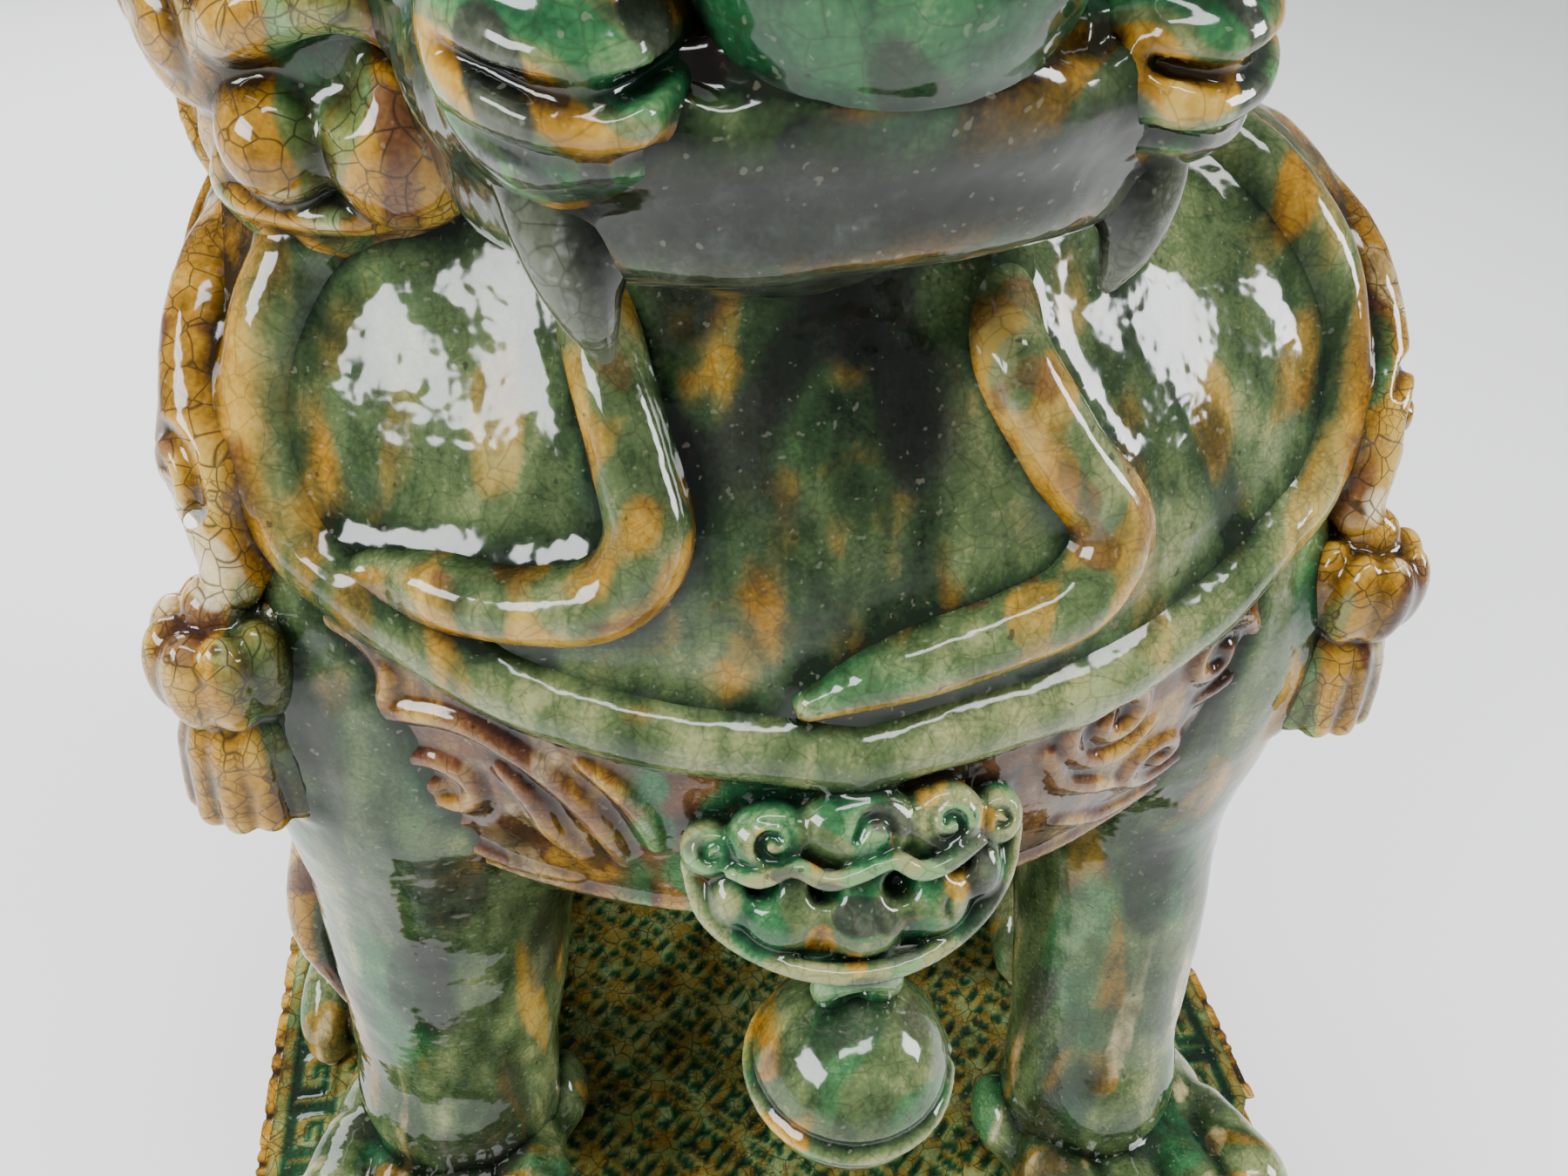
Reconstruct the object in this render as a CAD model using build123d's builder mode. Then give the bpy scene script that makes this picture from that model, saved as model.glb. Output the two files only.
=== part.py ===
"""Seated guardian lion on a slab-built plinth: a glazed pottery statue made of luted clay pieces.

Millimetres, +Z up, the lion faces -Y. "left" is the -X side and "right" the +X side, as seen from
the front. The origin is the centre of the plinth's base, on the surface that the statue stands on.

Each clay piece is first a plain form. A piece is then fitted: the forms of the pieces made before
it are cut away from it, so that luted neighbours meet face to face.
"""

from build123d import *
import os

# Plinth
PLINTH_HEIGHT = 150
TOP_HALF_X = 181
TOP_HALF_Y = 215
SLAB_THICKNESS = 12
SLAB_EDGE_ROUND = 5
WALL_THICKNESS = 10
WALL_INSET = 5
FOOT_FLARE = 14
FOOT_HEIGHT = 16
FOOT_SLOPE = 10

# Cloth over the plinth
CLOTH_THICKNESS = 2
FLAP_HALF_WIDTH = 118
FLAP_DROP = 118
FLAP_PROUD = 4
STAND = PLINTH_HEIGHT + CLOTH_THICKNESS

# Body, in level ovals: height, front, back, half width
TORSO_OVALS = [
    (STAND, 0, 176, 98),
    (200, -30, 200, 116),
    (250, -64, 206, 122),
    (300, -92, 196, 124),
    (350, -106, 170, 128),
    (400, -104, 140, 130),
    (440, -98, 112, 122),
    (480, -88, 88, 104),
    (508, -78, 70, 82),
]
CHEST_OVALS = [
    (276, -96, -28, 50),
    (300, -126, 0, 96),
    (330, -143, 18, 124),
    (362, -152, 27, 138),
    (400, -154, 30, 144),
    (436, -149, 27, 142),
    (468, -137, 18, 132),
    (496, -115, 0, 108),
    (514, -92, -20, 80),
]
BODY_WALL = 10
BODY_SEAM_Y = 14

# Forelegs and paws
SHOULDER_RUN = [(86, -60, 420), (98, -72, 380), (101, -82, 335)]
SHOULDER_RADII = [26, 46, 44]
KNEE = (104, 38, 262)
KNEE_RADIUS = 36
ANKLE = (110, 22, 190)
ANKLE_RADIUS = 30
PAW_X = 116
PAW_Y = {"left": -118, "right": -148}
TOE_STEPS = (-1.5, -0.5, 0.5, 1.5)
TOE_PITCH = 22
TOE_RADIUS = 10.5
CLAW_RADIUS = 5

# Hind legs
HIND_PAW_X = 134
HIND_PAW_Y = -26
HIND_TOE_PITCH = 17
HIND_TOE_RADIUS = 8

# Collar: a tilted band round the chest, below a raised roll
COLLAR_TILT = 41
COLLAR_FRONT = (0, -152, 405)
ROLL_WIDTH = 9
ROLL_PROUD = 6
BAND_WIDTH = 50
BAND_PROUD = 3
COLLAR_BACK_Y = -38

# Harness trim
MEDALLION_HEIGHT = 374
MEDALLION_OVALS = [(-136, 37, 20), (-160, 38, 21), (-174, 31, 17), (-181, 16, 9)]
BELL_CENTRE = (0, -178, 313)
BELL_RADIUS = 25.5
LOOP_RADIUS = 8
LOOP_THICKNESS = 3
TASSEL_CENTRE = (146, -112, 410)
TASSEL_RADIUS = 19
TASSEL_DROP = 42

# Head, in its own turned frame: X across, -Y out through the muzzle, Z up
HEAD_CENTRE = (-27, -75, 560)
HEAD_ROLL = 3
HEAD_TURN = 6.5
HEAD_WALL = 10
EYE_PLACE = (38, -60, 54)
EYE_RADIUS = 17

SIDES = {"left": -1, "right": 1}
WORLD = Plane.XY
HEAD = Plane(Location(HEAD_CENTRE, (0, -HEAD_ROLL, HEAD_TURN)))

os.makedirs("parts", exist_ok=True)


def oval(plane, half_x, half_y):
    """A flat oval face on a plane."""
    with BuildSketch(plane) as section:
        Ellipse(half_x, half_y)
    return section.sketch


def level_plane(height, y, frame=WORLD, x=0):
    """A plane parallel to a frame's XY, at a height and a place in it."""
    return Plane(origin=frame.from_local_coords((x, y, height)), x_dir=frame.x_dir, z_dir=frame.z_dir)


def stack(ovals, frame=WORLD, x=0):
    """Loft a rounded mass through level ovals: height, front, back, half width."""
    loft([
        oval(level_plane(height, (front + back) / 2, frame, x), half_width, (back - front) / 2)
        for height, front, back, half_width in ovals
    ])


def grown(ovals, margin):
    """Level ovals with their outlines moved out by a margin, or in where it is negative."""
    return [
        (height, front - margin, back + margin, half_width + margin)
        for height, front, back, half_width in ovals
    ]


def limb(points, radii, frame=WORLD):
    """Loft a round limb through points, with a radius at each."""
    places = [frame.from_local_coords(point) for point in points]
    reach = places[-1] - places[0]
    guide = Vector(0, 0, 1) if abs(reach.X) > abs(reach.Z) else Vector(1, 0, 0)
    ahead = places[1:] + places[-1:]
    behind = places[:1] + places[:-1]
    sections = []
    for place, before, after, radius in zip(places, behind, ahead, radii):
        along = (after - before).normalized()
        across = (guide - along * guide.dot(along)).normalized()
        sections.append(oval(Plane(origin=place, x_dir=across, z_dir=along), radius, radius))
    loft(sections)


def fitted(form, *earlier):
    """A form with the forms of earlier pieces cut away from it."""
    with BuildPart() as piece:
        add(form.part)
        for other in earlier:
            add(other.part, mode=Mode.SUBTRACT)
    return piece


def save(piece, name):
    """Label a finished piece and write its STEP file."""
    piece.part.label = name
    export_step(piece.part, f"parts/{name}.step")


def at_side(sign, *places):
    """Places given for the right side, moved to the side of the sign."""
    return [(sign * x, y, z) for x, y, z in places]


# ---------------------------------------------------------------- plinth walls, top and cloth

# Each plinth side: turn about Z, distance of the slab's edge from the axis, half length
PLINTH_SIDES = {
    "front": (0, TOP_HALF_Y, TOP_HALF_X),
    "right": (90, TOP_HALF_X, TOP_HALF_Y),
    "back": (180, TOP_HALF_Y, TOP_HALF_X),
    "left": (270, TOP_HALF_X, TOP_HALF_Y),
}
WALL_TOP = PLINTH_HEIGHT - SLAB_THICKNESS
WALL_INNER = -WALL_INSET - WALL_THICKNESS
WALL_PROFILE = [
    (WALL_INNER, 0),
    (FOOT_FLARE, 0),
    (FOOT_FLARE, FOOT_HEIGHT),
    (-WALL_INSET, FOOT_HEIGHT + FOOT_SLOPE),
    (-WALL_INSET, WALL_TOP),
    (WALL_INNER, WALL_TOP),
]
FLAP_TIP = PLINTH_HEIGHT - FLAP_DROP
FLAP_PROFILE = [
    (-WALL_INSET, FLAP_TIP),
    (FLAP_PROUD, FLAP_TIP),
    (FLAP_PROUD, PLINTH_HEIGHT),
    (0, PLINTH_HEIGHT),
    (0, WALL_TOP),
    (-WALL_INSET, WALL_TOP),
]

for side, (turn, reach, half_length) in PLINTH_SIDES.items():
    outward = Vector(0, -1, 0).rotate(Axis.Z, turn)
    along = Vector(1, 0, 0).rotate(Axis.Z, turn)
    across = Plane(origin=outward * reach, x_dir=outward, z_dir=-along)

    with BuildPart() as plinth_wall:
        with BuildSketch(across):
            with BuildLine():
                Polyline(*WALL_PROFILE, close=True)
            make_face()
        extrude(amount=half_length + FOOT_FLARE, both=True)
        for end in (-1, 1):
            corner = outward * reach + along * (end * half_length)
            split(bisect_by=Plane(origin=corner, z_dir=outward - along * end), keep=Keep.TOP)
    save(plinth_wall, f"plinth_{side}_wall")

    with BuildPart() as flap:
        with BuildSketch(across):
            with BuildLine():
                Polyline(*FLAP_PROFILE, close=True)
            make_face()
        extrude(amount=FLAP_HALF_WIDTH, both=True)
        for end in (-1, 1):
            edge = along * (-end * FLAP_DROP) + Vector(0, 0, FLAP_HALF_WIDTH)
            tip = Plane(origin=outward * reach + Vector(0, 0, FLAP_TIP), z_dir=edge)
            split(bisect_by=tip, keep=Keep.TOP)
    save(flap, f"cloth_{side}_flap")

with BuildPart() as top_slab:
    with BuildSketch(Plane.XY.offset(WALL_TOP)):
        Rectangle(2 * TOP_HALF_X, 2 * TOP_HALF_Y)
    extrude(amount=SLAB_THICKNESS)
    fillet(top_slab.edges().filter_by(Axis.Z), radius=SLAB_EDGE_ROUND)
save(top_slab, "plinth_top_slab")

CLOTH_CORNERS = [
    (FLAP_HALF_WIDTH, -TOP_HALF_Y),
    (TOP_HALF_X, -FLAP_HALF_WIDTH),
    (TOP_HALF_X, FLAP_HALF_WIDTH),
    (FLAP_HALF_WIDTH, TOP_HALF_Y),
]
with BuildPart() as cloth_top:
    with BuildSketch(Plane.XY.offset(PLINTH_HEIGHT)):
        with BuildLine():
            Polyline(*CLOTH_CORNERS, *[(-x, -y) for x, y in CLOTH_CORNERS], close=True)
        make_face()
    extrude(amount=CLOTH_THICKNESS)
save(cloth_top, "cloth_top")

# ---------------------------------------------------------------- hollow body, two moulded halves

with BuildPart() as body_form:
    stack(TORSO_OVALS)
    stack(CHEST_OVALS)

with BuildPart() as body_hollow:
    stack(grown(TORSO_OVALS[1:-1], -BODY_WALL))
    stack(grown(CHEST_OVALS[1:-1], -BODY_WALL))

BODY_SEAM = Plane(origin=(0, BODY_SEAM_Y, 0), z_dir=(0, 1, 0))
for name, kept in (("body_front_half", Keep.BOTTOM), ("body_back_half", Keep.TOP)):
    body_half = fitted(body_form, body_hollow)
    with BuildPart() as body_side:
        add(body_half.part)
        split(bisect_by=BODY_SEAM, keep=kept)
    save(body_side, name)

# ---------------------------------------------------------------- legs, paws, claws, haunches

leg_forms = {}
paw_forms = []
hind_paw_forms = []
haunch_forms = []
for side, sign in SIDES.items():
    paw_y = PAW_Y[side]

    with BuildPart() as paw_form:
        stack(
            [
                (STAND, paw_y - 22, paw_y + 46, 42),
                (168, paw_y - 24, paw_y + 48, 43),
                (186, paw_y - 16, paw_y + 46, 38),
                (202, paw_y - 6, paw_y + 40, 27),
            ],
            x=sign * PAW_X,
        )
        for step in TOE_STEPS:
            toe_x = sign * PAW_X + step * TOE_PITCH
            reach = 34 - 4 * abs(step)
            limb(
                [
                    (toe_x, paw_y - 4, 180),
                    (toe_x, paw_y - reach + 12, 178),
                    (toe_x, paw_y - reach - 4, 170),
                    (toe_x, paw_y - reach - 9, 156),
                ],
                [TOE_RADIUS - 3, TOE_RADIUS, TOE_RADIUS, TOE_RADIUS - 2],
            )
        split(bisect_by=Plane.XY.offset(STAND), keep=Keep.TOP)
    save(paw_form, f"{side}_forepaw")

    with BuildPart() as leg_form:
        points = SHOULDER_RUN + [
            (KNEE[0], paw_y + KNEE[1], KNEE[2]),
            (ANKLE[0], paw_y + ANKLE[1], ANKLE[2]),
        ]
        limb(at_side(sign, *points), SHOULDER_RADII + [KNEE_RADIUS, ANKLE_RADIUS])
    save(fitted(leg_form, paw_form, body_form), f"{side}_foreleg")
    leg_forms[side] = leg_form

    with BuildPart() as hind_paw_form:
        stack(
            [
                (STAND, HIND_PAW_Y - 14, HIND_PAW_Y + 60, 32),
                (166, HIND_PAW_Y - 16, HIND_PAW_Y + 60, 33),
                (182, HIND_PAW_Y - 8, HIND_PAW_Y + 56, 28),
                (194, HIND_PAW_Y + 4, HIND_PAW_Y + 48, 18),
            ],
            x=sign * HIND_PAW_X,
        )
        for step in TOE_STEPS:
            toe_x = sign * HIND_PAW_X + step * HIND_TOE_PITCH
            reach = 26 - 4 * abs(step)
            limb(
                [
                    (toe_x, HIND_PAW_Y + 2, 176),
                    (toe_x, HIND_PAW_Y - reach + 8, 174),
                    (toe_x, HIND_PAW_Y - reach - 4, 166),
                    (toe_x, HIND_PAW_Y - reach - 8, 155),
                ],
                [HIND_TOE_RADIUS - 2, HIND_TOE_RADIUS, HIND_TOE_RADIUS, HIND_TOE_RADIUS - 1],
            )
        split(bisect_by=Plane.XY.offset(STAND), keep=Keep.TOP)
    save(fitted(hind_paw_form, body_form), f"{side}_hind_paw")

    with BuildPart() as haunch_form:
        stack(
            [
                (STAND, -14, 124, 34),
                (185, -30, 146, 42),
                (235, -20, 162, 47),
                (285, 14, 156, 40),
                (316, 50, 132, 22),
            ],
            x=sign * 120,
        )
    save(fitted(haunch_form, body_form, hind_paw_form, leg_form), f"{side}_haunch")

    paw_forms.append(paw_form)
    hind_paw_forms.append(hind_paw_form)
    haunch_forms.append(haunch_form)

with BuildPart() as fore_claw_form:
    for side, sign in SIDES.items():
        for step in TOE_STEPS:
            toe_y = PAW_Y[side] - 48 + 4 * abs(step)
            with Locations((sign * PAW_X + step * TOE_PITCH, toe_y, 158)):
                Sphere(CLAW_RADIUS)
save(fitted(fore_claw_form, *paw_forms), "fore_claws")

with BuildPart() as hind_claw_form:
    for sign in SIDES.values():
        for step in TOE_STEPS:
            toe_y = HIND_PAW_Y - 38 + 4 * abs(step)
            with Locations((sign * HIND_PAW_X + step * HIND_TOE_PITCH, toe_y, 157)):
                Sphere(CLAW_RADIUS - 1)
save(fitted(hind_claw_form, *hind_paw_forms), "hind_claws")

ELBOW_LOCK = [(124, -64, 312), (144, -62, 284), (147, -70, 258), (140, -78, 236)]
with BuildPart() as elbow_form:
    for sign in SIDES.values():
        limb(at_side(sign, *ELBOW_LOCK), [12, 13, 9, 2])
save(fitted(elbow_form, *leg_forms.values(), body_form), "elbow_locks")

HAUNCH_LOCK = [(156, 30, 236), (164, 54, 252), (165, 82, 268), (156, 108, 290)]
with BuildPart() as haunch_lock_form:
    for sign in SIDES.values():
        limb(at_side(sign, *HAUNCH_LOCK), [12, 13, 10, 3])
save(fitted(haunch_lock_form, *haunch_forms), "haunch_locks")

# ---------------------------------------------------------------- collar, medallion, bell, tassels

COLLAR = Plane(Location(COLLAR_FRONT, (COLLAR_TILT, 0, 0)))


def collar_layer(proud, down, width):
    """A tilted layer of the grown chest, from a distance down the collar and by a width."""
    stack(grown(CHEST_OVALS, proud))
    split(bisect_by=COLLAR.offset(-down), keep=Keep.BOTTOM)
    split(bisect_by=COLLAR.offset(-down - width), keep=Keep.TOP)
    split(bisect_by=Plane(origin=(0, COLLAR_BACK_Y, 0), z_dir=(0, -1, 0)), keep=Keep.TOP)


with BuildPart() as medallion_form:
    loft([
        oval(Plane(origin=(0, y, MEDALLION_HEIGHT), x_dir=(1, 0, 0), z_dir=(0, -1, 0)), half_x, half_z)
        for y, half_x, half_z in MEDALLION_OVALS
    ])
save(fitted(medallion_form, body_form), "collar_medallion")

with BuildPart() as roll_form:
    collar_layer(ROLL_PROUD, 0, ROLL_WIDTH)
save(fitted(roll_form, body_form, medallion_form), "collar_roll")

tassel_forms = []
for side, sign in SIDES.items():
    knob = at_side(sign, TASSEL_CENTRE)[0]
    with BuildPart() as tassel_form:
        stack(
            [
                (knob[2] - TASSEL_DROP, knob[1] - 14, knob[1] + 14, 12),
                (knob[2] - TASSEL_DROP + 18, knob[1] - 19, knob[1] + 19, 17),
                (knob[2] - 14, knob[1] - 15, knob[1] + 15, 14),
                (knob[2], knob[1] - TASSEL_RADIUS, knob[1] + TASSEL_RADIUS, TASSEL_RADIUS - 1),
                (knob[2] + 14, knob[1] - 13, knob[1] + 13, 12),
                (knob[2] + 20, knob[1] - 6, knob[1] + 6, 6),
            ],
            x=knob[0],
        )
    save(fitted(tassel_form, body_form, leg_forms[side]), f"{side}_shoulder_tassel")

    with BuildPart() as knot_form:
        limb(at_side(sign, (138, -100, 440), (140, -84, 462), (130, -62, 484)), [12, 15, 11])
    save(fitted(knot_form, body_form, roll_form, tassel_form, leg_forms[side]), f"{side}_strap_knot")
    tassel_forms += [tassel_form, knot_form]

for side, sign in SIDES.items():
    with BuildPart() as band_form:
        collar_layer(BAND_PROUD, ROLL_WIDTH, BAND_WIDTH)
        split(bisect_by=Plane(origin=(0, 0, 0), z_dir=(sign, 0, 0)), keep=Keep.TOP)
    band = fitted(band_form, body_form, medallion_form, leg_forms[side], *tassel_forms)
    save(band, f"{side}_collar_band")

with BuildPart() as harness_bell:
    with Locations(BELL_CENTRE):
        Sphere(BELL_RADIUS)
        Torus(BELL_RADIUS, 1.5)
        with Locations((0, 0, -BELL_RADIUS)):
            Box(30, 3, 14, mode=Mode.SUBTRACT)
save(harness_bell, "harness_bell")

LOOP_CENTRE = (BELL_CENTRE[0], BELL_CENTRE[1] + 4, BELL_CENTRE[2] + BELL_RADIUS + LOOP_RADIUS)
with BuildPart() as loop_form:
    with Locations(Location(LOOP_CENTRE, (90, 0, 0))):
        Torus(LOOP_RADIUS, LOOP_THICKNESS)
save(fitted(loop_form, harness_bell, medallion_form), "bell_loop")

# ---------------------------------------------------------------- head

with BuildPart() as head_form:
    stack(
        [
            (-44, -70, 50, 46),
            (-24, -92, 72, 64),
            (0, -102, 84, 76),
            (24, -92, 90, 81),
            (50, -78, 88, 79),
            (76, -58, 74, 66),
            (100, -28, 44, 38),
        ],
        HEAD,
    )

with BuildPart() as head_hollow:
    stack(
        [
            (0, -70, 84 - HEAD_WALL, 76 - HEAD_WALL),
            (50, -62, 88 - HEAD_WALL, 79 - HEAD_WALL),
            (86, -30, 56 - HEAD_WALL, 52 - HEAD_WALL),
        ],
        HEAD,
    )

with BuildPart() as mouth_form:
    with Locations(HEAD.location * Location((0, -70, -38))):
        Box(96, 90, 30)

lobe_forms = []
for side, sign in SIDES.items():
    with BuildPart() as lobe_form:
        limb(
            at_side(sign, (34, -70, 6), (37, -94, 7), (35, -110, 5), (33, -117, 2)),
            [20, 23, 18, 8],
            HEAD,
        )
    save(fitted(lobe_form, head_form, *lobe_forms), f"{side}_lip_lobe")
    lobe_forms.append(lobe_form)

with BuildPart() as nose_form:
    limb([(-26, -104, 22), (-14, -108, 22), (14, -108, 22), (26, -104, 22)], [8, 16, 16, 8], HEAD)
save(fitted(nose_form, head_form, *lobe_forms), "nose")

with BuildPart() as jaw_form:
    with Locations(HEAD.location * Location((0, -50, -50))):
        Box(80, 64, 20)
    fillet(jaw_form.edges().group_by(Edge.length)[0], radius=8)
save(fitted(jaw_form, body_form), "lower_jaw")

with BuildPart() as tongue:
    with Locations(HEAD.location * Location((0, -50, -37))):
        Box(40, 46, 6)
    fillet(tongue.edges().group_by(Edge.length)[-1], radius=2)
save(tongue, "tongue")

with BuildPart() as lower_teeth:
    for step in range(-2, 3):
        with Locations(HEAD.location * Location((step * 12, -77, -36.5))):
            Box(9, 6, 7)
save(lower_teeth, "lower_teeth")

with BuildPart() as upper_teeth:
    for step in range(-2, 3):
        with Locations(HEAD.location * Location((step * 12, -84, -27))):
            Box(9, 6, 8)
save(upper_teeth, "upper_teeth")

with BuildPart() as fang_form:
    for sign in SIDES.values():
        limb(at_side(sign, (41, -90, -16), (42, -97, -26), (42, -101, -38)), [8, 7, 3], HEAD)
save(fang_form, "upper_fangs")

with BuildPart() as eye_form:
    for place in at_side(-1, EYE_PLACE) + at_side(1, EYE_PLACE):
        with Locations(HEAD.location * Location(place)):
            Sphere(EYE_RADIUS)
save(eye_form, "eyeballs")

head_shell = fitted(head_form, head_hollow, mouth_form, body_form, eye_form, upper_teeth, fang_form)
save(head_shell, "head_shell")

with BuildPart() as crown_form:
    stack(
        [
            (84, -30, 38, 34),
            (104, -40, 46, 41),
            (122, -34, 40, 35),
            (138, -24, 30, 26),
            (150, -10, 16, 12),
        ],
        HEAD,
    )
save(fitted(crown_form, head_form), "crown_boss")

mane_forms = [head_form, body_form]
for side, sign in SIDES.items():
    with BuildPart() as brow_form:
        limb(
            at_side(sign, (12, -70, 72), (34, -70, 84), (58, -52, 82), (72, -26, 68)),
            [9, 12, 11, 5],
            HEAD,
        )
    save(fitted(brow_form, head_form, eye_form, crown_form), f"{side}_brow")

    with BuildPart() as ear_form:
        limb(at_side(sign, (76, 6, 62), (92, 10, 58), (104, 16, 42), (106, 20, 24)), [12, 16, 13, 4], HEAD)
    save(fitted(ear_form, head_form), f"{side}_ear")

    with BuildPart() as cheek_form:
        limb(
            at_side(sign, (70, -34, 10), (84, -32, -10), (88, -32, -38), (84, -36, -62)),
            [16, 22, 24, 12],
            HEAD,
        )
    save(fitted(cheek_form, head_form, body_form, roll_form), f"{side}_cheek_lock")
    mane_forms += [ear_form, cheek_form]

with BuildPart() as nape_form:
    stack(
        [
            (-120, 70, 132, 40),
            (-80, 40, 134, 60),
            (-20, 30, 130, 66),
            (40, 30, 122, 62),
            (84, 30, 98, 44),
            (100, 40, 76, 26),
        ],
        HEAD,
    )
save(fitted(nape_form, *mane_forms), "nape_mane")
mane_forms.append(nape_form)

for side, sign in SIDES.items():
    with BuildPart() as side_mane_form:
        stack(
            [
                (-96, -4, 62, 20),
                (-60, -16, 80, 38),
                (-10, -14, 88, 44),
                (40, -4, 84, 38),
                (82, 14, 64, 20),
            ],
            HEAD,
            x=sign * 68,
        )
    save(fitted(side_mane_form, *mane_forms, roll_form, *tassel_forms), f"{side}_mane")

BEARD_RUNS = {
    "left": [
        (-51, -112, 486),
        (-46, -127, 467),
        (-46, -136, 449),
        (-60, -137, 440),
        (-80, -130, 438),
        (-98, -120, 435),
    ],
    "right": [
        (29, -116, 486),
        (41, -129, 466),
        (52, -136, 448),
        (43, -143, 435),
        (16, -149, 429),
        (-10, -150, 418),
    ],
}
for side, points in BEARD_RUNS.items():
    with BuildPart() as beard_form:
        limb(points, [8, 9, 10, 10, 8, 4])
    save(fitted(beard_form, body_form), f"{side}_beard_lock")

# ---------------------------------------------------------------- tail

with BuildPart() as tail_form:
    limb([(0, 160, 196), (0, 190, 214), (0, 202, 250), (0, 190, 300)], [24, 25, 22, 18])
save(fitted(tail_form, body_form), "tail_root")

TAIL_LOCKS = {
    "tail_centre_lock": [(0, 180, 292), (0, 184, 350), (0, 180, 410), (0, 168, 470)],
    "tail_left_lock": [(-24, 178, 284), (-52, 178, 330), (-60, 176, 384), (-44, 170, 428)],
    "tail_right_lock": [(24, 178, 284), (52, 178, 330), (60, 176, 384), (44, 170, 428)],
}
TAIL_RADII = [18, 26, 20, 4]
tail_forms = [body_form, tail_form]
for name, points in TAIL_LOCKS.items():
    with BuildPart() as lock_form:
        limb(points, TAIL_RADII)
    save(fitted(lock_form, *tail_forms), name)
    tail_forms.append(lock_form)
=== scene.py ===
"""Looks of the glazed guardian lion: each clay piece is sculpted as a distance field and meshed.

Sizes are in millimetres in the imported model's frame; a mesh becomes metres when it is made.
"""

from math import cos, exp, pi, radians, sin, sqrt

import bpy
import numpy as np
from mathutils import Matrix


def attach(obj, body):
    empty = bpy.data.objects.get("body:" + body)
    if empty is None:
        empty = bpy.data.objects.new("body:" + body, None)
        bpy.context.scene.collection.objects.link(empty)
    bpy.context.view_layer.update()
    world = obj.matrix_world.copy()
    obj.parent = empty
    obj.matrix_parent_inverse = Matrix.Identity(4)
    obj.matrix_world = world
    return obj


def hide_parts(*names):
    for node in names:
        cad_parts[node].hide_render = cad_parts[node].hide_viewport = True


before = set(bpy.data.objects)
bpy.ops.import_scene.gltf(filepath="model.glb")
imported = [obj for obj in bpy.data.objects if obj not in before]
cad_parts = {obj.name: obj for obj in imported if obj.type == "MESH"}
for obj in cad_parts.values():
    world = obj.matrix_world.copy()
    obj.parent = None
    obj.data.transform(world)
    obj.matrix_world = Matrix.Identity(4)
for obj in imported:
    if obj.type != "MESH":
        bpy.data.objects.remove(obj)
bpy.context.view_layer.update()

MM = 0.001
FAR = 60.0  # what a field says where no shape is near
REACH = 16.0  # how far round a shape its distance is worked out
COARSE = 1.0
SIDES = {"left": -1, "right": 1}


# ---- distance shapes

def vec(*values):
    """A float vector."""
    return np.array(values, float)


def turn(axis, degrees):
    """Rotation matrix about a frame axis, 0 to 2."""
    c, s = cos(radians(degrees)), sin(radians(degrees))
    i, j = [(1, 2), (2, 0), (0, 1)][axis]
    m = np.eye(3)
    m[i, i] = m[j, j] = c
    m[i, j], m[j, i] = -s, s
    return m


class Shape:
    """A distance function with the box that holds its surface."""

    def __init__(self, low, high, distance):
        self.low, self.high, self.distance = np.array(low, float), np.array(high, float), distance


def ellipsoid(centre, radii, rot=None):
    """An ellipsoid, turned by a matrix whose columns are its own axes."""
    c, r = np.array(centre, float), np.array(radii, float)
    m = np.eye(3) if rot is None else rot
    half = np.sqrt(((m * r) ** 2).sum(1))

    def distance(x, y, z):
        p = (x - c[0], y - c[1], z - c[2])
        if rot is not None:
            p = [p[0] * m[0, i] + p[1] * m[1, i] + p[2] * m[2, i] for i in range(3)]
        near = np.sqrt(sum((p[i] / r[i]) ** 2 for i in range(3)))
        far = np.sqrt(sum((p[i] / r[i] ** 2) ** 2 for i in range(3)))
        return near * (near - 1) / np.maximum(far, 1e-6)

    return Shape(c - half, c + half, distance)


def segment(start, end, r0, r1):
    """A tapered round bar with ball ends."""
    a, b = np.array(start, float), np.array(end, float)
    run = b - a
    square = max(float(run @ run), 1e-9)

    def distance(x, y, z):
        px, py, pz = x - a[0], y - a[1], z - a[2]
        t = np.clip((px * run[0] + py * run[1] + pz * run[2]) / square, 0, 1)
        gap = np.sqrt((px - t * run[0]) ** 2 + (py - t * run[1]) ** 2 + (pz - t * run[2]) ** 2)
        return gap - (r0 + (r1 - r0) * t)

    low = np.minimum(a - r0, b - r1)
    return Shape(low, np.maximum(a + r0, b + r1), distance)


def block(centre, half, rounding=0.0, rot=None):
    """A box with rounded edges."""
    c, h = np.array(centre, float), np.array(half, float)
    m = np.eye(3) if rot is None else rot
    spread = (np.abs(m) * h).sum(1)

    def distance(x, y, z):
        p = (x - c[0], y - c[1], z - c[2])
        q = [np.abs(p[0] * m[0, i] + p[1] * m[1, i] + p[2] * m[2, i]) - h[i] + rounding for i in range(3)]
        outside = np.sqrt(sum(np.maximum(v, 0) ** 2 for v in q))
        inside = np.minimum(np.maximum(np.maximum(q[0], q[1]), q[2]), 0)
        return outside + inside - rounding

    return Shape(c - spread, c + spread, distance)


def halfspace(point, normal):
    """Everything behind a plane: its normal points out of it."""
    p, n = np.array(point, float), np.array(normal, float)
    n = n / np.linalg.norm(n)

    def distance(x, y, z):
        return (x - p[0]) * n[0] + (y - p[1]) * n[1] + (z - p[2]) * n[2]

    return Shape(p - 1e4, p + 1e4, distance)


def tapered(radius, count, first, last):
    """Radii along a strand that thins at its ends by two shares."""
    return [radius * first] + [radius] * (count - 2) + [radius * last]


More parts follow.
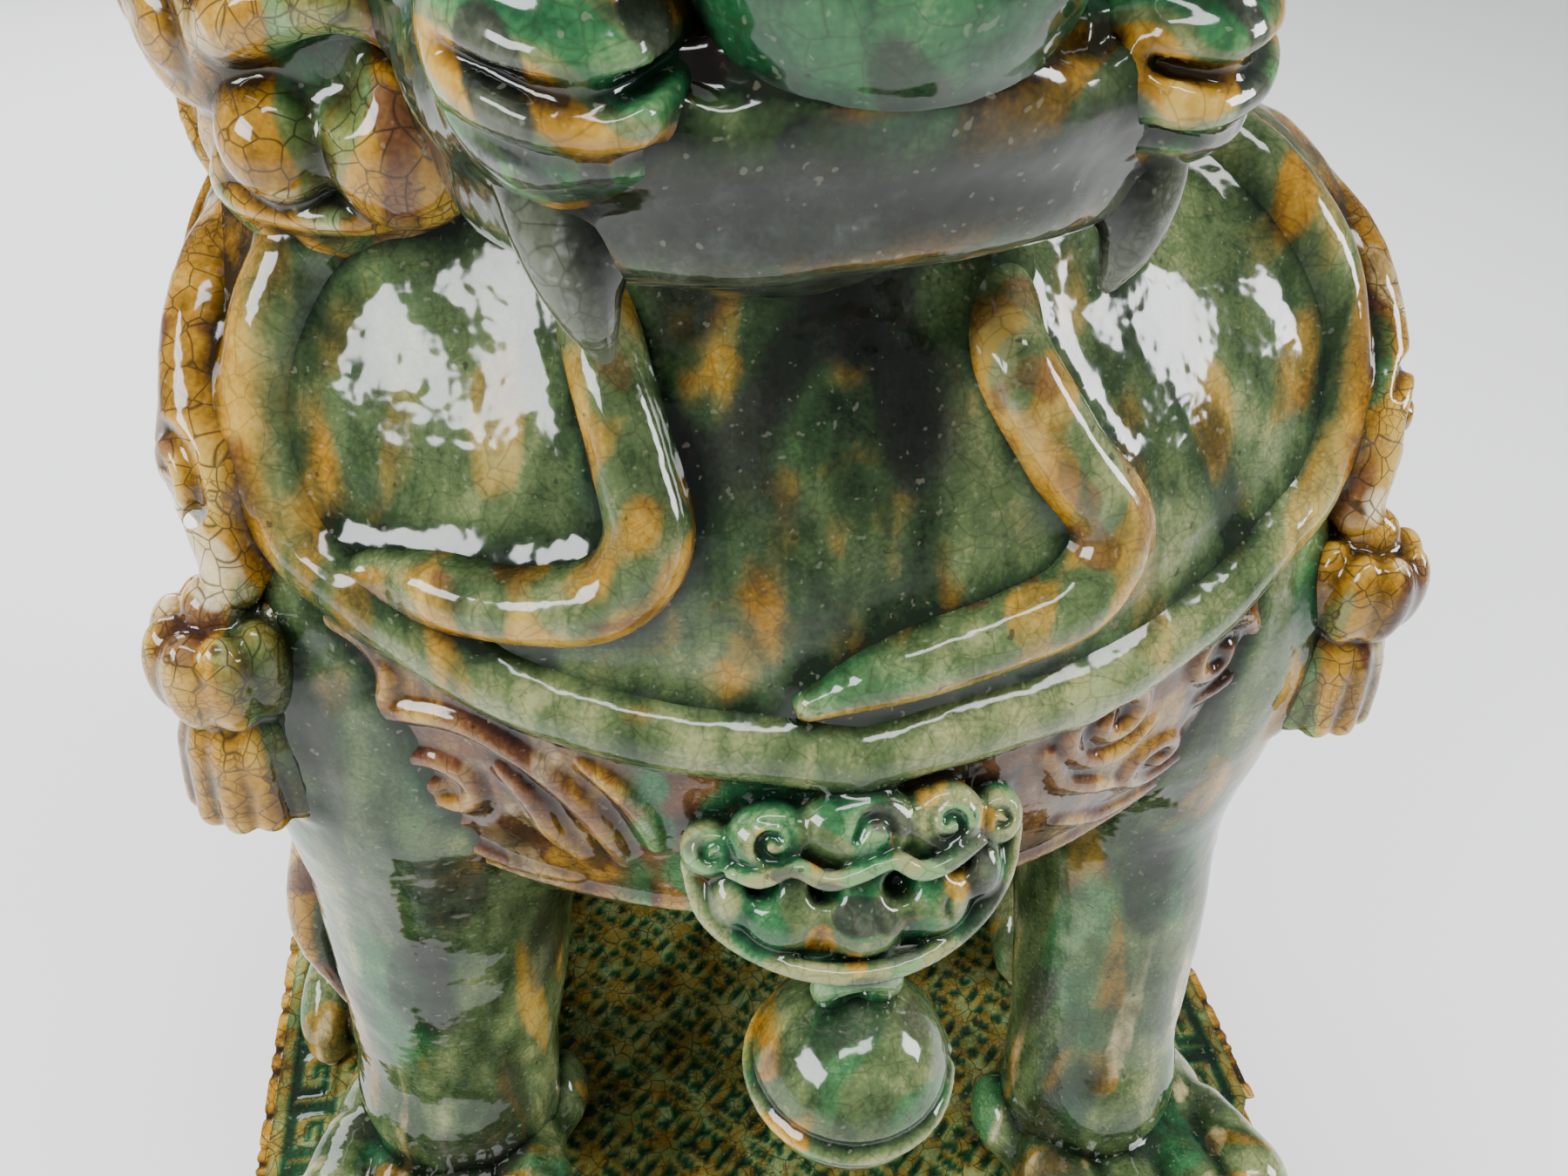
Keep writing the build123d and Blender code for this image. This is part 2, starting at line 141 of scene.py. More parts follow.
def scroll(x, z, size, hand, start, turns=1.5, inner=0.10, count=18, squash=1.0):
    """A flat spiral about (x, z) that opens from an inner share of its size."""
    flat = []
    for t in np.linspace(0, 1, count):
        a, r = start + hand * t * turns * 2 * pi, size * (inner + (1 - inner) * t)
        flat.append((x + r * cos(a), z + squash * r * sin(a)))
    return flat


def circle(centre, across, up, count):
    """A closed ring of points, from two half axes."""
    return [centre + cos(a) * across + sin(a) * up for a in np.linspace(0, 2 * pi, count)]


def smooth_min(a, b, k):
    """Union of two fields with a fillet of size k."""
    low = np.minimum(a, b)
    if k <= 0:
        return low
    blend = np.maximum(k - np.abs(a - b), 0) / k
    return low - blend * blend * (k / 4)


def smooth_path(points, values, pieces):
    """Points and values along a Catmull-Rom curve through points."""
    p = np.column_stack([np.array(points, float), np.array(values, float)])
    p = np.vstack([2 * p[0] - p[1], p, 2 * p[-1] - p[-2]])
    rows = []
    for i in range(1, len(p) - 2):
        t = np.linspace(0, 1, pieces, endpoint=i == len(p) - 3)[:, None]
        a, b, c, d = p[i - 1], p[i], p[i + 1], p[i + 2]
        rows.append(0.5 * (2 * b + (c - a) * t + (2 * a - 5 * b + 4 * c - d) * t**2
                           + (3 * b - a - 3 * c + d) * t**3))
    rows = np.vstack(rows)
    return rows[:, :-1], rows[:, -1]


class Form:
    """Shapes joined and cut in order, which can be read on any grid."""

    def __init__(self):
        self.steps = []

    def add(self, shape, k=0.0):
        self.steps.append((1, [shape], k))
        return self

    def cut(self, shape, k=0.0):
        self.steps.append((-1, [shape], k))
        return self

    def keep(self, shape, k=0.0):
        self.steps.append((0, [shape], k))
        return self

    def ball(self, centre, radii, k=0.0, rot=None):
        return self.add(ellipsoid(centre, radii, rot), k)

    def dent(self, centre, radii, k=0.0, rot=None):
        return self.cut(ellipsoid(centre, radii, rot), k)

    def head_ball(self, place, radii, k=0.0):
        """A ball placed and turned in the head's own frame."""
        return self.ball(head(*place), radii, k, HEAD_TURN)

    def head_dent(self, place, radii, k=0.0):
        return self.dent(head(*place), radii, k, HEAD_TURN)

    def limb(self, points, radii, k=0.0, pieces=5, cut=False):
        """A smooth tube through points; its own runs join without a fillet."""
        places, sizes = smooth_path(points, radii, pieces)
        runs = [segment(a, b, r, q) for a, b, r, q in zip(places, places[1:], sizes, sizes[1:])]
        self.steps.append((-1 if cut else 1, runs, k))
        return self

    def limits(self):
        """The box of everything added."""
        added = [s for sign, shapes, _ in self.steps if sign == 1 for s in shapes]
        return np.min([s.low for s in added], 0), np.max([s.high for s in added], 0)

    def on(self, grid):
        """The form's distances on a grid."""
        d = np.full(grid.count, FAR, np.float32)
        for sign, shapes, k in self.steps:
            low = np.min([s.low for s in shapes], 0) - REACH - k
            high = np.max([s.high for s in shapes], 0) + REACH + k
            place = grid.window(low, high)
            if place is None:
                continue
            cut = place[0]
            new = np.full(d[cut].shape, FAR, np.float32)
            for s in shapes:
                inner = grid.window(s.low - REACH - k, s.high + REACH + k)
                if inner is None:
                    continue
                part, px, py, pz = inner
                local = tuple(slice(p.start - c.start, p.stop - c.start) for p, c in zip(part, cut))
                new[local] = np.minimum(new[local], s.distance(px, py, pz))
            if sign == 1:
                d[cut] = smooth_min(d[cut], new, k)
            elif sign == -1:
                d[cut] = -smooth_min(-d[cut], new, k)
            else:
                d[cut] = -smooth_min(-d[cut], -new, k)
        return d


class Grid:
    """A regular grid of points in a box."""

    def __init__(self, low, high, step):
        self.step = step
        self.low = np.array(low, float)
        self.count = tuple(np.ceil((np.array(high) - self.low) / step).astype(int) + 1)
        self.axes = [(self.low[i] + step * np.arange(self.count[i])).astype(np.float32) for i in range(3)]

    def window(self, low, high):
        """The part of the grid inside a box, and its coordinates."""
        cut = []
        for axis, a, b in zip(self.axes, low, high):
            start, stop = np.searchsorted(axis, a), np.searchsorted(axis, b)
            if stop <= start:
                return None
            cut.append(slice(int(start), int(stop)))
        x, y, z = (axis[c] for axis, c in zip(self.axes, cut))
        return tuple(cut), x[:, None, None], y[None, :, None], z[None, None, :]


# ---- meshing

CORNERS = [(i, j, k) for i in (0, 1) for j in (0, 1) for k in (0, 1)]
EDGES = [(a, b) for a in CORNERS for b in CORNERS
         if sum(b) - sum(a) == 1 and sum(abs(p - q) for p, q in zip(a, b)) == 1]


def surface_net(d, grid):
    """Quads over the zero surface of a field: one point in each cell that it crosses."""
    inside = d < 0
    shape = tuple(n - 1 for n in d.shape)
    total = np.zeros(shape, np.int8)
    for i, j, k in CORNERS:
        total += inside[i:i + shape[0], j:j + shape[1], k:k + shape[2]]
    cells = np.argwhere((total > 0) & (total < 8))
    index = np.full(shape, -1, np.int32)
    index[tuple(cells.T)] = np.arange(len(cells))
    place = np.zeros((len(cells), 3))
    hits = np.zeros(len(cells))
    for a, b in EDGES:
        da = d[tuple((cells + a).T)]
        db = d[tuple((cells + b).T)]
        crossed = (da < 0) != (db < 0)
        t = np.where(crossed, da / np.where(crossed, da - db, 1), 0)
        point = np.array(a) + t[:, None] * (np.array(b) - np.array(a))
        place += point * crossed[:, None]
        hits += crossed
    points = grid.low + grid.step * (cells + place / hits[:, None])
    quads = []
    for axis in range(3):
        u, v = [(1, 2), (2, 0), (0, 1)][axis]
        first = [slice(1, -1)] * 3
        second = [slice(1, -1)] * 3
        first[axis], second[axis] = slice(0, -1), slice(1, None)
        a, b = inside[tuple(first)], inside[tuple(second)]
        at = np.argwhere(a != b)
        leaving = a[tuple(at.T)]
        offset = np.ones(3, int)
        offset[axis] = 0
        at = at + offset
        du, dv = np.zeros(3, int), np.zeros(3, int)
        du[u], dv[v] = 1, 1
        ring = [index[tuple((at - step).T)] for step in (du * 0, du, du + dv, dv)]
        ring = np.column_stack(ring)
        quads.append(np.where(leaving[:, None], ring, ring[:, ::-1]))
    return points, np.vstack(quads)


def neighbour_mean(values, edges, count):
    """For each point, the mean of a value over the points it shares an edge with."""
    a, b = edges[:, 0], edges[:, 1]
    weight = np.bincount(a, minlength=count) + np.bincount(b, minlength=count)
    weight = np.maximum(weight, 1)
    if values.ndim == 1:
        total = np.bincount(a, values[b], count) + np.bincount(b, values[a], count)
        return total / weight
    return np.column_stack([neighbour_mean(values[:, i], edges, count) for i in range(values.shape[1])])


def quad_edges(quads):
    """Each edge of a quad mesh once."""
    edges = np.vstack([quads[:, [i, (i + 1) % 4]] for i in range(4)])
    edges.sort(1)
    return np.unique(edges, axis=0)


def loose_parts(edges, count):
    """For each point, the lowest number of any point that edges join it to."""
    label = np.arange(count)
    while True:
        lowest = np.minimum(label[edges[:, 0]], label[edges[:, 1]])
        joined = label.copy()
        np.minimum.at(joined, edges[:, 0], lowest)
        np.minimum.at(joined, edges[:, 1], lowest)
        joined = joined[joined]
        if (joined == label).all():
            return label
        label = joined


def without_hidden(points, quads, edges, hidden):
    """The mesh without its loose parts that are crumbs or lie wholly inside other pieces."""
    label = loose_parts(edges, len(points))
    size = np.bincount(label, minlength=len(points))
    shown = np.bincount(label, ~hidden, len(points))
    kept = (((shown > 0) & (size > 80)) | (size == size.max()))[label]
    renumber = np.cumsum(kept) - 1
    return points[kept], renumber[quads[kept[quads[:, 0]]]], renumber[edges[kept[edges[:, 0]]]]


def box_blur(values, radius):
    """Mean over a cube, by running sums along each axis."""
    for axis in range(3):
        padded = np.concatenate([np.repeat(values.take([0], axis), radius + 1, axis), values,
                                 np.repeat(values.take([-1], axis), radius, axis)], axis)
        total = np.cumsum(padded, axis, dtype=np.float32)
        size = values.shape[axis]
        ahead = total.take(range(2 * radius + 1, 2 * radius + 1 + size), axis)
        behind = total.take(range(0, size), axis)
        values = (ahead - behind) / (2 * radius + 1)
    return values


def sample(values, points, grid):
    """Values of a gridded field at points."""
    g = (points - grid.low) / grid.step
    top = np.array(values.shape) - 2
    base = np.clip(np.floor(g).astype(int), 0, top)
    t = np.clip(g - base, 0, 1)
    out = 0
    for corner in CORNERS:
        share = np.prod([t[:, i] if corner[i] else 1 - t[:, i] for i in range(3)], 0)
        out = out + share * values[tuple((base + corner).T)]
    return out


def ripple(points, size, seed):
    """Smooth noise between about -1 and 1, with features of a size in mm."""
    rng = np.random.default_rng(seed)
    out = np.zeros(len(points))
    for _ in range(9):
        way = rng.normal(size=3)
        way *= 2 * pi / size / np.linalg.norm(way) * rng.uniform(0.6, 1.3)
        out += np.sin(points @ way + rng.uniform(0, 6.28))
    return out / 3.2


def ease(low, high, value):
    """0 below low, 1 above high, smooth between."""
    t = np.clip((value - low) / (high - low), 0, 1)
    return t * t * (3 - 2 * t)


def build(name, points, quads, slot, tints, nodes):
    """Make the Blender piece, with its tint masks as attributes."""
    mesh = bpy.data.meshes.new(name)
    quads = np.asarray(quads, np.int32)
    corners = quads.shape[1]
    mesh.vertices.add(len(points))
    mesh.vertices.foreach_set("co", (np.asarray(points) * MM).astype(np.float32).ravel())
    mesh.loops.add(quads.size)
    mesh.loops.foreach_set("vertex_index", quads.ravel())
    mesh.polygons.add(len(quads))
    mesh.polygons.foreach_set("loop_start", np.arange(0, quads.size, corners, dtype=np.int32))
    mesh.polygons.foreach_set("use_smooth", np.ones(len(quads), bool))
    mesh.update(calc_edges=True)
    mesh.validate()
    for key, value in tints.items():
        layer = mesh.attributes.new(key, "FLOAT", "POINT")
        layer.data.foreach_set("value", np.asarray(value, np.float32))
    mesh.materials.append(glaze(slot))
    piece = bpy.data.objects.new(name, mesh)
    bpy.context.scene.collection.objects.link(piece)
    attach(piece, "root")
    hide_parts(*nodes)


def sculpt(name, form, slot, step, around=(), fillet=6.0, tint=None, wobble=0.35, relax=2, nodes=None,
           limits=None):
    """Mesh a form as one clay piece that meets the forms around it in a glazed fillet."""
    step = step * COARSE
    around = [f for a in around for f in (a.values() if isinstance(a, dict) else [a])]
    low, high = form.limits() if limits is None else limits
    margin = 3 * step + fillet
    grid = Grid(np.array(low) - margin, np.array(high) + margin, step)
    own = form.on(grid)
    joined = own
    if around:
        others = around[0].on(grid)
        for other in around[1:]:
            others = np.minimum(others, other.on(grid))
        joined = smooth_min(own, others, fillet)
        past = own - others
        body = np.maximum(joined + 0.45 * np.maximum(past, 0), past - 2.5 * step)
    else:
        body = own
    for axis in range(3):
        edge = [slice(None)] * 3
        for side in (0, -1):
            edge[axis] = side
            body[tuple(edge)] = np.maximum(body[tuple(edge)], 0.5)
    points, quads = surface_net(body, grid)
    edges = quad_edges(quads)
    if around:
        points, quads, edges = without_hidden(points, quads, edges, sample(others, points, grid) < 0)
    count = len(points)
    for _ in range(relax):
        points = points + 0.5 * (neighbour_mean(points, edges, count) - points)
    solid = (joined < 0).astype(np.float32)
    pool = sample(box_blur(solid, max(1, round(5 / step))), points, grid)
    crease = sample(box_blur(solid, max(1, round(2.2 / step))), points, grid)
    normal = vertex_normals(points, quads)
    shift = wobble * (ripple(points, 46, 3) + 0.5 * ripple(points, 19, 4))
    points = points + normal * shift[:, None]
    tints = {"pool": pool, "crease": crease, **{key: np.zeros(count) for key in MASKS}}
    if tint is not None:
        tints.update({key: np.clip(value, 0, 1) for key, value in tint(points, normal).items()})
    build(name, points, quads, slot, tints, nodes or [name])


def vertex_normals(points, quads):
    """Area-weighted normals of a quad mesh."""
    p = points[quads]
    face = np.cross(p[:, 2] - p[:, 0], p[:, 3] - p[:, 1])
    normal = np.zeros_like(points)
    for i in range(4):
        for j in range(3):
            normal[:, j] += np.bincount(quads[:, i], face[:, j], len(points))
    return normal / np.maximum(np.linalg.norm(normal, axis=1), 1e-9)[:, None]


# ---- glazes

GREEN, AMBER, BROWN, CREAM, DARK = (f"{tone}_glaze" for tone in ("green", "amber", "brown", "cream", "dark"))

# Deep, middle, pale and thin tones of each glaze
TONES = {
    GREEN: [(0.004, 0.011, 0.004), (0.026, 0.048, 0.017), (0.084, 0.118, 0.044), (0.25, 0.26, 0.11)],
    AMBER: [(0.018, 0.009, 0.001), (0.13, 0.062, 0.004), (0.33, 0.165, 0.012), (0.47, 0.30, 0.06)],
    BROWN: [(0.006, 0.003, 0.002), (0.036, 0.012, 0.006), (0.105, 0.040, 0.014), (0.21, 0.11, 0.04)],
    CREAM: [(0.10, 0.065, 0.025), (0.40, 0.29, 0.12), (0.60, 0.49, 0.27), (0.74, 0.67, 0.48)],
    # Near-black glaze: a real dark colour in places such as the pupils, and painted shade on the lower jaw,
    # under the lip, under the chin and in the low relief of the cloth top
    DARK: [(0.003, 0.004, 0.003), (0.009, 0.012, 0.008), (0.026, 0.032, 0.022), (0.08, 0.09, 0.06)],
    "emerald": [(0.002, 0.016, 0.007), (0.009, 0.054, 0.019), (0.032, 0.118, 0.042), (0.16, 0.27, 0.11)],
    "silver": [(0.004, 0.005, 0.004), (0.013, 0.016, 0.013), (0.040, 0.046, 0.040), (0.22, 0.23, 0.21)],
}
TONES["eye_glaze"] = TONES[CREAM]
MASKS = {"amber": AMBER, "brown": BROWN, "cream": CREAM, "emerald": "emerald", "dark": DARK,
         "silver": "silver"}


class Graph:
    """A material's nodes, added one at a time."""

    def __init__(self, name):
        self.material = bpy.data.materials.new(name)
        self.material.use_nodes = True
        self.tree = self.material.node_tree
        self.tree.nodes.clear()

    def node(self, kind, inputs=(), **settings):
        """Add a node, set its settings, and link or set its inputs."""
        made = self.tree.nodes.new("ShaderNode" + kind)
        for key, value in settings.items():
            setattr(made, key, value)
        for key, value in dict(inputs).items():
            if isinstance(value, bpy.types.NodeSocket):
                self.tree.links.new(value, made.inputs[key])
            else:
                made.inputs[key].default_value = value
        return made

    def maths(self, operation, a, b=0.0):
        return self.node("Math", {0: a, 1: b}, operation=operation).outputs[0]

    def noise(self, place, scale, detail=2.0, distortion=0.0):
        inputs = {"Vector": place, "Scale": scale, "Detail": detail, "Distortion": distortion}
        return self.node("TexNoise", inputs).outputs[0]

    def step(self, value, low, high, first=0.0, last=1.0):
        inputs = {"Value": value, "From Min": low, "From Max": high, "To Min": first, "To Max": last}
        return self.node("MapRange", inputs, interpolation_type="SMOOTHSTEP").outputs[0]

    def mix(self, share, a, b):
        rgba = [c if isinstance(c, bpy.types.NodeSocket) else (*c, 1) for c in (a, b)]
        return self.node("Mix", {0: share, 6: rgba[0], 7: rgba[1]}, data_type="RGBA").outputs[2]

    def ramp(self, value, tones):
        made = self.node("ValToRGB", {0: value})
        stops = made.color_ramp.elements
        for i, (tone, place) in enumerate(zip(tones, (0.04, 0.36, 0.66, 0.97))):
            stop = stops[i] if i in (0,) else stops.new(place) if i < 3 else stops[-1]
            stop.position = place
            stop.color = (*tone, 1)
        return made.outputs[0]

    def mask(self, name):
        return self.node("Attribute", attribute_name=name).outputs["Fac"]


GLAZES = {}


def glaze(slot):
    """The crackled lead glaze of one family: it pools dark in hollows and thins to pale on ridges."""
    if slot in GLAZES:
        return GLAZES[slot]
    g = Graph("crackled_" + slot)
    place = g.node("TexCoord").outputs["Object"]
    runs = g.node("Mapping", {"Vector": place, "Scale": (1.0, 1.0, 0.32)}).outputs[0]
    broad = g.noise(runs, 30, 3, 0.6)
    fine = g.noise(runs, 130, 3, 0.4)
    grain = g.noise(place, 900, 1)
    pool, crease = g.mask("pool"), g.mask("crease")
    depth = g.maths("ADD", g.maths("MULTIPLY", g.maths("SUBTRACT", broad, 0.5), 1.5), 0.46)
    depth = g.maths("ADD", depth, g.maths("MULTIPLY", g.maths("SUBTRACT", fine, 0.5), 0.9))
    depth = g.maths("ADD", depth, g.maths("MULTIPLY", g.maths("SUBTRACT", 0.5, pool), 1.5))
    depth = g.maths("ADD", depth, g.maths("MULTIPLY", g.maths("SUBTRACT", 0.5, crease), 1.6))
    depth = g.maths("ADD", depth, g.maths("MULTIPLY", g.maths("SUBTRACT", grain, 0.5), 0.35))
    colour = g.ramp(depth, TONES[slot])
    edge = g.maths("MULTIPLY", g.maths("SUBTRACT", fine, 0.5), 0.7)
    for name, family in MASKS.items():
        if family == slot:
            continue
        share = g.step(g.maths("ADD", g.mask(name), edge), 0.18, 0.82)
        colour = g.mix(share, colour, g.ramp(depth, TONES[family]))

    sway = g.node("TexNoise", {"Vector": place, "Scale": 60.0, "Detail": 1.0})
    bend = g.node("VectorMath", {0: sway.outputs[1], "Scale": 0.010}, operation="SCALE").outputs[0]
    bent = g.node("VectorMath", {0: place, 1: bend}, operation="ADD").outputs[0]
    wide = g.node("TexVoronoi", {"Vector": bent, "Scale": 170.0}, feature="DISTANCE_TO_EDGE").outputs[0]
    small = g.node("TexVoronoi", {"Vector": bent, "Scale": 400.0}, feature="DISTANCE_TO_EDGE").outputs[0]
    where = g.step(sway.outputs[0], 0.42, 0.62)
    lines = g.step(wide, 0.0, 0.055, 1.0, 0.0)
    hair = g.maths("MULTIPLY", g.step(small, 0.0, 0.09, 1.0, 0.0), where)
    depth = {AMBER: 0.8, CREAM: 0.5, BROWN: 0.5}.get(slot, 0.34)
    crackle = g.maths("MAXIMUM", g.maths("MULTIPLY", lines, depth), g.maths("MULTIPLY", hair, 0.8 * depth))
    colour = g.mix(crackle, colour, (0.018, 0.013, 0.007))
    specks = g.step(g.noise(place, 520, 1), 0.68, 0.74)
    colour = g.mix(g.maths("MULTIPLY", specks, 0.12), colour, (0.50, 0.48, 0.36))
    pits = g.step(g.noise(place, 330, 1), 0.27, 0.22)
    colour = g.mix(g.maths("MULTIPLY", pits, 0.6), colour, (0.010, 0.008, 0.006))

    height = g.noise(place, 95, 2)
    bump = g.node("Bump", {"Height": height, "Strength": 0.35, "Distance": 0.0016}).outputs[0]
    skin = g.node("BsdfPrincipled", {
        "Base Color": colour, "Roughness": 0.085, "IOR": 1.43, "Normal": bump,
    }).outputs[0]
    g.node("OutputMaterial", {"Surface": skin})
    GLAZES[slot] = g.material
    return g.material


# ---- small makers

# The head looks down and a little aside
HEAD_AT = vec(-27, -75, 560)
HEAD_TURN = turn(1, -3) @ turn(2, 6.5)


def head(x, y, z):
    """A place given in the head's own frame."""
    return HEAD_AT + HEAD_TURN @ vec(x, y, z)


def heads(*places):
    return [head(*p) for p in places]


def sided(sign, *places):
    """Places given for the right side, moved to the side of the sign."""
    return [(sign * x, y, z) for x, y, z in places]


def axes(out, up=(0, 0, 1)):
    """Columns across, up and out, for a patch of surface that faces out."""
    n = vec(*out) / np.linalg.norm(out)
    u = vec(*up) - n * (vec(*up) @ n)
    u = u / max(np.linalg.norm(u), 1e-6)
    return np.column_stack([np.cross(u, n), u, n])


def on_ball(centre, radii, azimuth, elevation, rot=None):
    """A point on an ellipsoid and its outward direction; azimuth 0 faces -Y, 90 faces +X."""
    a, e = radians(azimuth), radians(elevation)
    d = vec(sin(a) * cos(e), -cos(a) * cos(e), sin(e))
    m = np.eye(3) if rot is None else rot
    r = np.array(radii, float)
    n = m @ (d / r)
    return np.array(centre, float) + m @ (d * r), n / np.linalg.norm(n)


def snail(form, centre, out, size, hand=1, turns=1.6, start=0.0, up=(0, 0, 1), k=4.0, lift=0.62):
    """A coiled lock: a dome with a spiral groove."""
    m = axes(out, up)
    centre = np.array(centre, float)
    form.ball(centre, (size, size * 0.96, size * lift), k, m)
    path = []
    for t in np.linspace(0, 1, 15):
        a = start + hand * t * turns * 2 * pi
        r = size * (0.24 + 0.66 * t)
        h = lift * size * sqrt(max(1 - (r / size) ** 2, 0.02)) + 0.06 * size
        path.append(centre + m @ vec(r * cos(a), r * sin(a), h))
    form.limb(path, [0.10 * size] * 2 + [0.15 * size] * 12 + [0.12 * size], 0.10 * size, 2, cut=True)


def flame(form, points, radii, strands=2, spread=0.5, k=5.0, side=(1, 0, 0)):
    """A lock of hair: strands side by side that run together to a point."""
    points, radii = np.array(points, float), np.array(radii, float)
    run = points[-1] - points[0]
    across = np.cross(run, np.array(side, float))
    across /= max(np.linalg.norm(across), 1e-6)
    for i in range(strands):
        shift = (i - (strands - 1) / 2) * 2 * spread
        moved = points + across * (shift * radii)[:, None]
        form.limb(moved, radii * (1 - 0.32 * (strands > 1)), k if i == 0 else 1.5, 5)


def field_at(form, points):
    """A form's distances at single points."""
    points = np.atleast_2d(points)
    x, y, z = points.T
    d = np.full(len(points), FAR)
    for sign, shapes, k in form.steps:
        new = np.min([s.distance(x, y, z) for s in shapes], 0)
        d = smooth_min(d, new, k) if sign == 1 else -smooth_min(-d, new if sign == -1 else -new, k)
    return d


def landed(form, x, z, lift=0.0, start=-260.0):
    """Where a line along Y, from in front, first meets a form, moved forward by a lift."""
    point = vec(x, start, z)
    for _ in range(60):
        gap = field_at(form, point)[0]
        if gap < 0.1 or point[1] > 60:
            break
        point[1] += gap * 0.9
    return point - vec(0, lift, 0)


# ---- body

# Four toes, in toe widths from a paw's middle line
TOES = (-1.5, -0.5, 0.5, 1.5)

# All that stands on the cloth is cut off at its face
UNDER_CLOTH = block((0, 0, 102), (400, 400, 50))

def trunk_form():
    """Chest, barrel, rump, neck and shoulder tops, thrown as one hollow body."""
    form = Form().ball((0, -62, 398), (143, 92, 126))
    form.ball((0, 25, 350), (125, 125, 135), 34)
    form.ball((0, 95, 260), (130, 97, 112), 34)
    form.ball((-14, -34, 500), (88, 72, 50), 26)
    for s in (-1, 1):
        form.ball((s * 98, -52, 448), (46, 54, 62), 26)
    form.limb([(0, 40, 478), (0, 110, 436), (0, 165, 372), (0, 188, 300)], [14, 13, 12, 9], 26)
    for i in range(7):
        a = i / 6
        form.ball((0, 62 + 112 * a, 478 - 120 * a ** 1.4), (11, 11, 9), 7)
    for s in (-1, 1):
        for i in range(3):
            y = -2 + 26 * i
            rib = sided(s, (96, y + 4, 432), (121, y, 385), (124, y - 6, 330), (112, y - 14, 290))
            form.limb(rib, [2, 5, 5, 2], 16)
    return form.cut(block((0, 0, 100), (300, 300, 52.5)))


def leg_form(side):
    """A foreleg from shoulder to ankle."""
    s = SIDES[side]
    y = {"left": -98, "right": -124}[side]
    thin = {"left": 0.98, "right": 0.82}[side]
    inner = {"left": 106, "right": 101}[side]
    form = Form().ball((s * 102, -78, 372), (43, 56, 82), 0, turn(1, s * 4))
    form.limb([(s * 100, -86, 350), (s * 103, (y - 88) / 2, 272), (s * inner, y + 2, 225),
               (s * (inner + 2), y, 176)], [41 * thin, 36 * thin, 32 * thin, 30 * thin], 16, 6)
    form.ball((s * (inner + 2), y - 8, 212), (28 * thin, 25, 22), 12)
    form.ball((s * (inner + 10), y + 22, 264), (22 * thin, 22, 40), 14)
    return form.cut(block((0, 0, 100), (400, 400, 60)))


def paw_form(side):
    """A forepaw with four knuckled toes and a dewclaw pad."""
    s = SIDES[side]
    x, y = s * 118, {"left": -116, "right": -146}[side]
    form = Form().ball((x - s * 4, y + 16, 172), (40, 44, 28))
    for t in TOES:
        tx, fan, reach = x + t * 21, t * 3.0, 34 - 5 * abs(t)
        form.limb([(tx - fan, y + 8, 184), (tx, y - reach + 12, 185), (tx + fan, y - reach - 3, 175),
                   (tx + fan, y - reach - 9, 164)], [10, 13, 12.5, 10.5], 3.5, 5)
        form.ball((tx, y - reach + 10, 187), (12, 13, 12), 4)
    form.ball((x - s * 42, y + 22, 176), (9, 14, 14), 5)
    return form.cut(UNDER_CLOTH)


def claws_form(places):
    """Hooked claws, each from its toe's end down to the cloth."""
    form = Form()
    for x, y, z, size in places:
        form.limb([(x, y + 5, z + 5), (x, y - 3, z + 3), (x, y - 7, z - 5), (x, y - 6, z - 10.5)],
                  [size * 0.8, size, size * 0.66, size * 0.22], 0, 5)
    return form.cut(halfspace((0, 0, 152.2), (0, 0, 1)))


def haunch_form(side):
    """A folded hind leg: thigh, shank and hock."""
    s = SIDES[side]
    form = Form().ball((s * 119, 72, 236), (46, 86, 82), 0, turn(0, 12))
    form.ball((s * 124, 6, 212), (37, 40, 44), 16)
    form.limb([(s * 126, 0, 205), (s * 132, 18, 178), (s * 132, 60, 168)], [33, 27, 25], 14)
    out = s * 160
    spiral = []
    for t in np.linspace(0, 1, 14):
        a = -0.6 + t * 8.2
        r = 9 + 38 * t
        spiral.append((out + s * 4 - s * 9 * t * t, 66 + r * cos(a), 238 + r * 0.9 * sin(a)))
    form.limb(spiral, [2.6] * 14, 2.5, 3, cut=True)
    for i in range(4):
        z = 196 - 9 * i
        form.limb([(out + s * 3, -26 + 3 * i, z), (out + s * 6, 0 + 2 * i, z + 8), (out + s * 6, 30, z + 5)],
                  [2, 2.4, 1.6], 2, 4, cut=True)
    return form.cut(UNDER_CLOTH)


def hind_paw_form(side):
    s = SIDES[side]
    x, y = s * 134, -26
    form = Form().ball((x, y + 18, 170), (31, 40, 24))
    for t in TOES:
        tx, reach = x + t * 16.5, 26 - 4 * abs(t)
        form.limb([(tx - t * 2, y + 8, 178), (tx, y - reach + 10, 178), (tx + t * 2, y - reach - 2, 170),
                   (tx + t * 2, y - reach - 7, 161)], [8, 10, 9.5, 8], 3, 5)
    return form.cut(UNDER_CLOTH)


def elbow_form():
    form = Form()
    for s in (-1, 1):
        flame(form, sided(s, (124, -64, 322), (140, -62, 292), (147, -74, 262), (140, -88, 236)),
              [9, 14, 11, 2.5], 2, 0.5, 4, (s, 0, 0))
        snail(form, (s * 140, -56, 306), (s, -0.1, 0), 18, s, 1.3, 1.2, k=3)
    return form


def haunch_lock_form():
    form = Form()
    for s in (-1, 1):
        flame(form, sided(s, (154, 26, 232), (163, 54, 248), (166, 84, 266), (158, 112, 292)),
              [8, 13, 10, 2.5], 2, 0.55, 4, (s, 0, 0))
        flame(form, sided(s, (154, 34, 244), (160, 58, 274), (154, 78, 300)), [7, 9, 2.5], 1, 0, 4)
        snail(form, (s * 160, 34, 240), (s, 0, 0), 15, s, 1.3, 2.0, k=3)
    return form


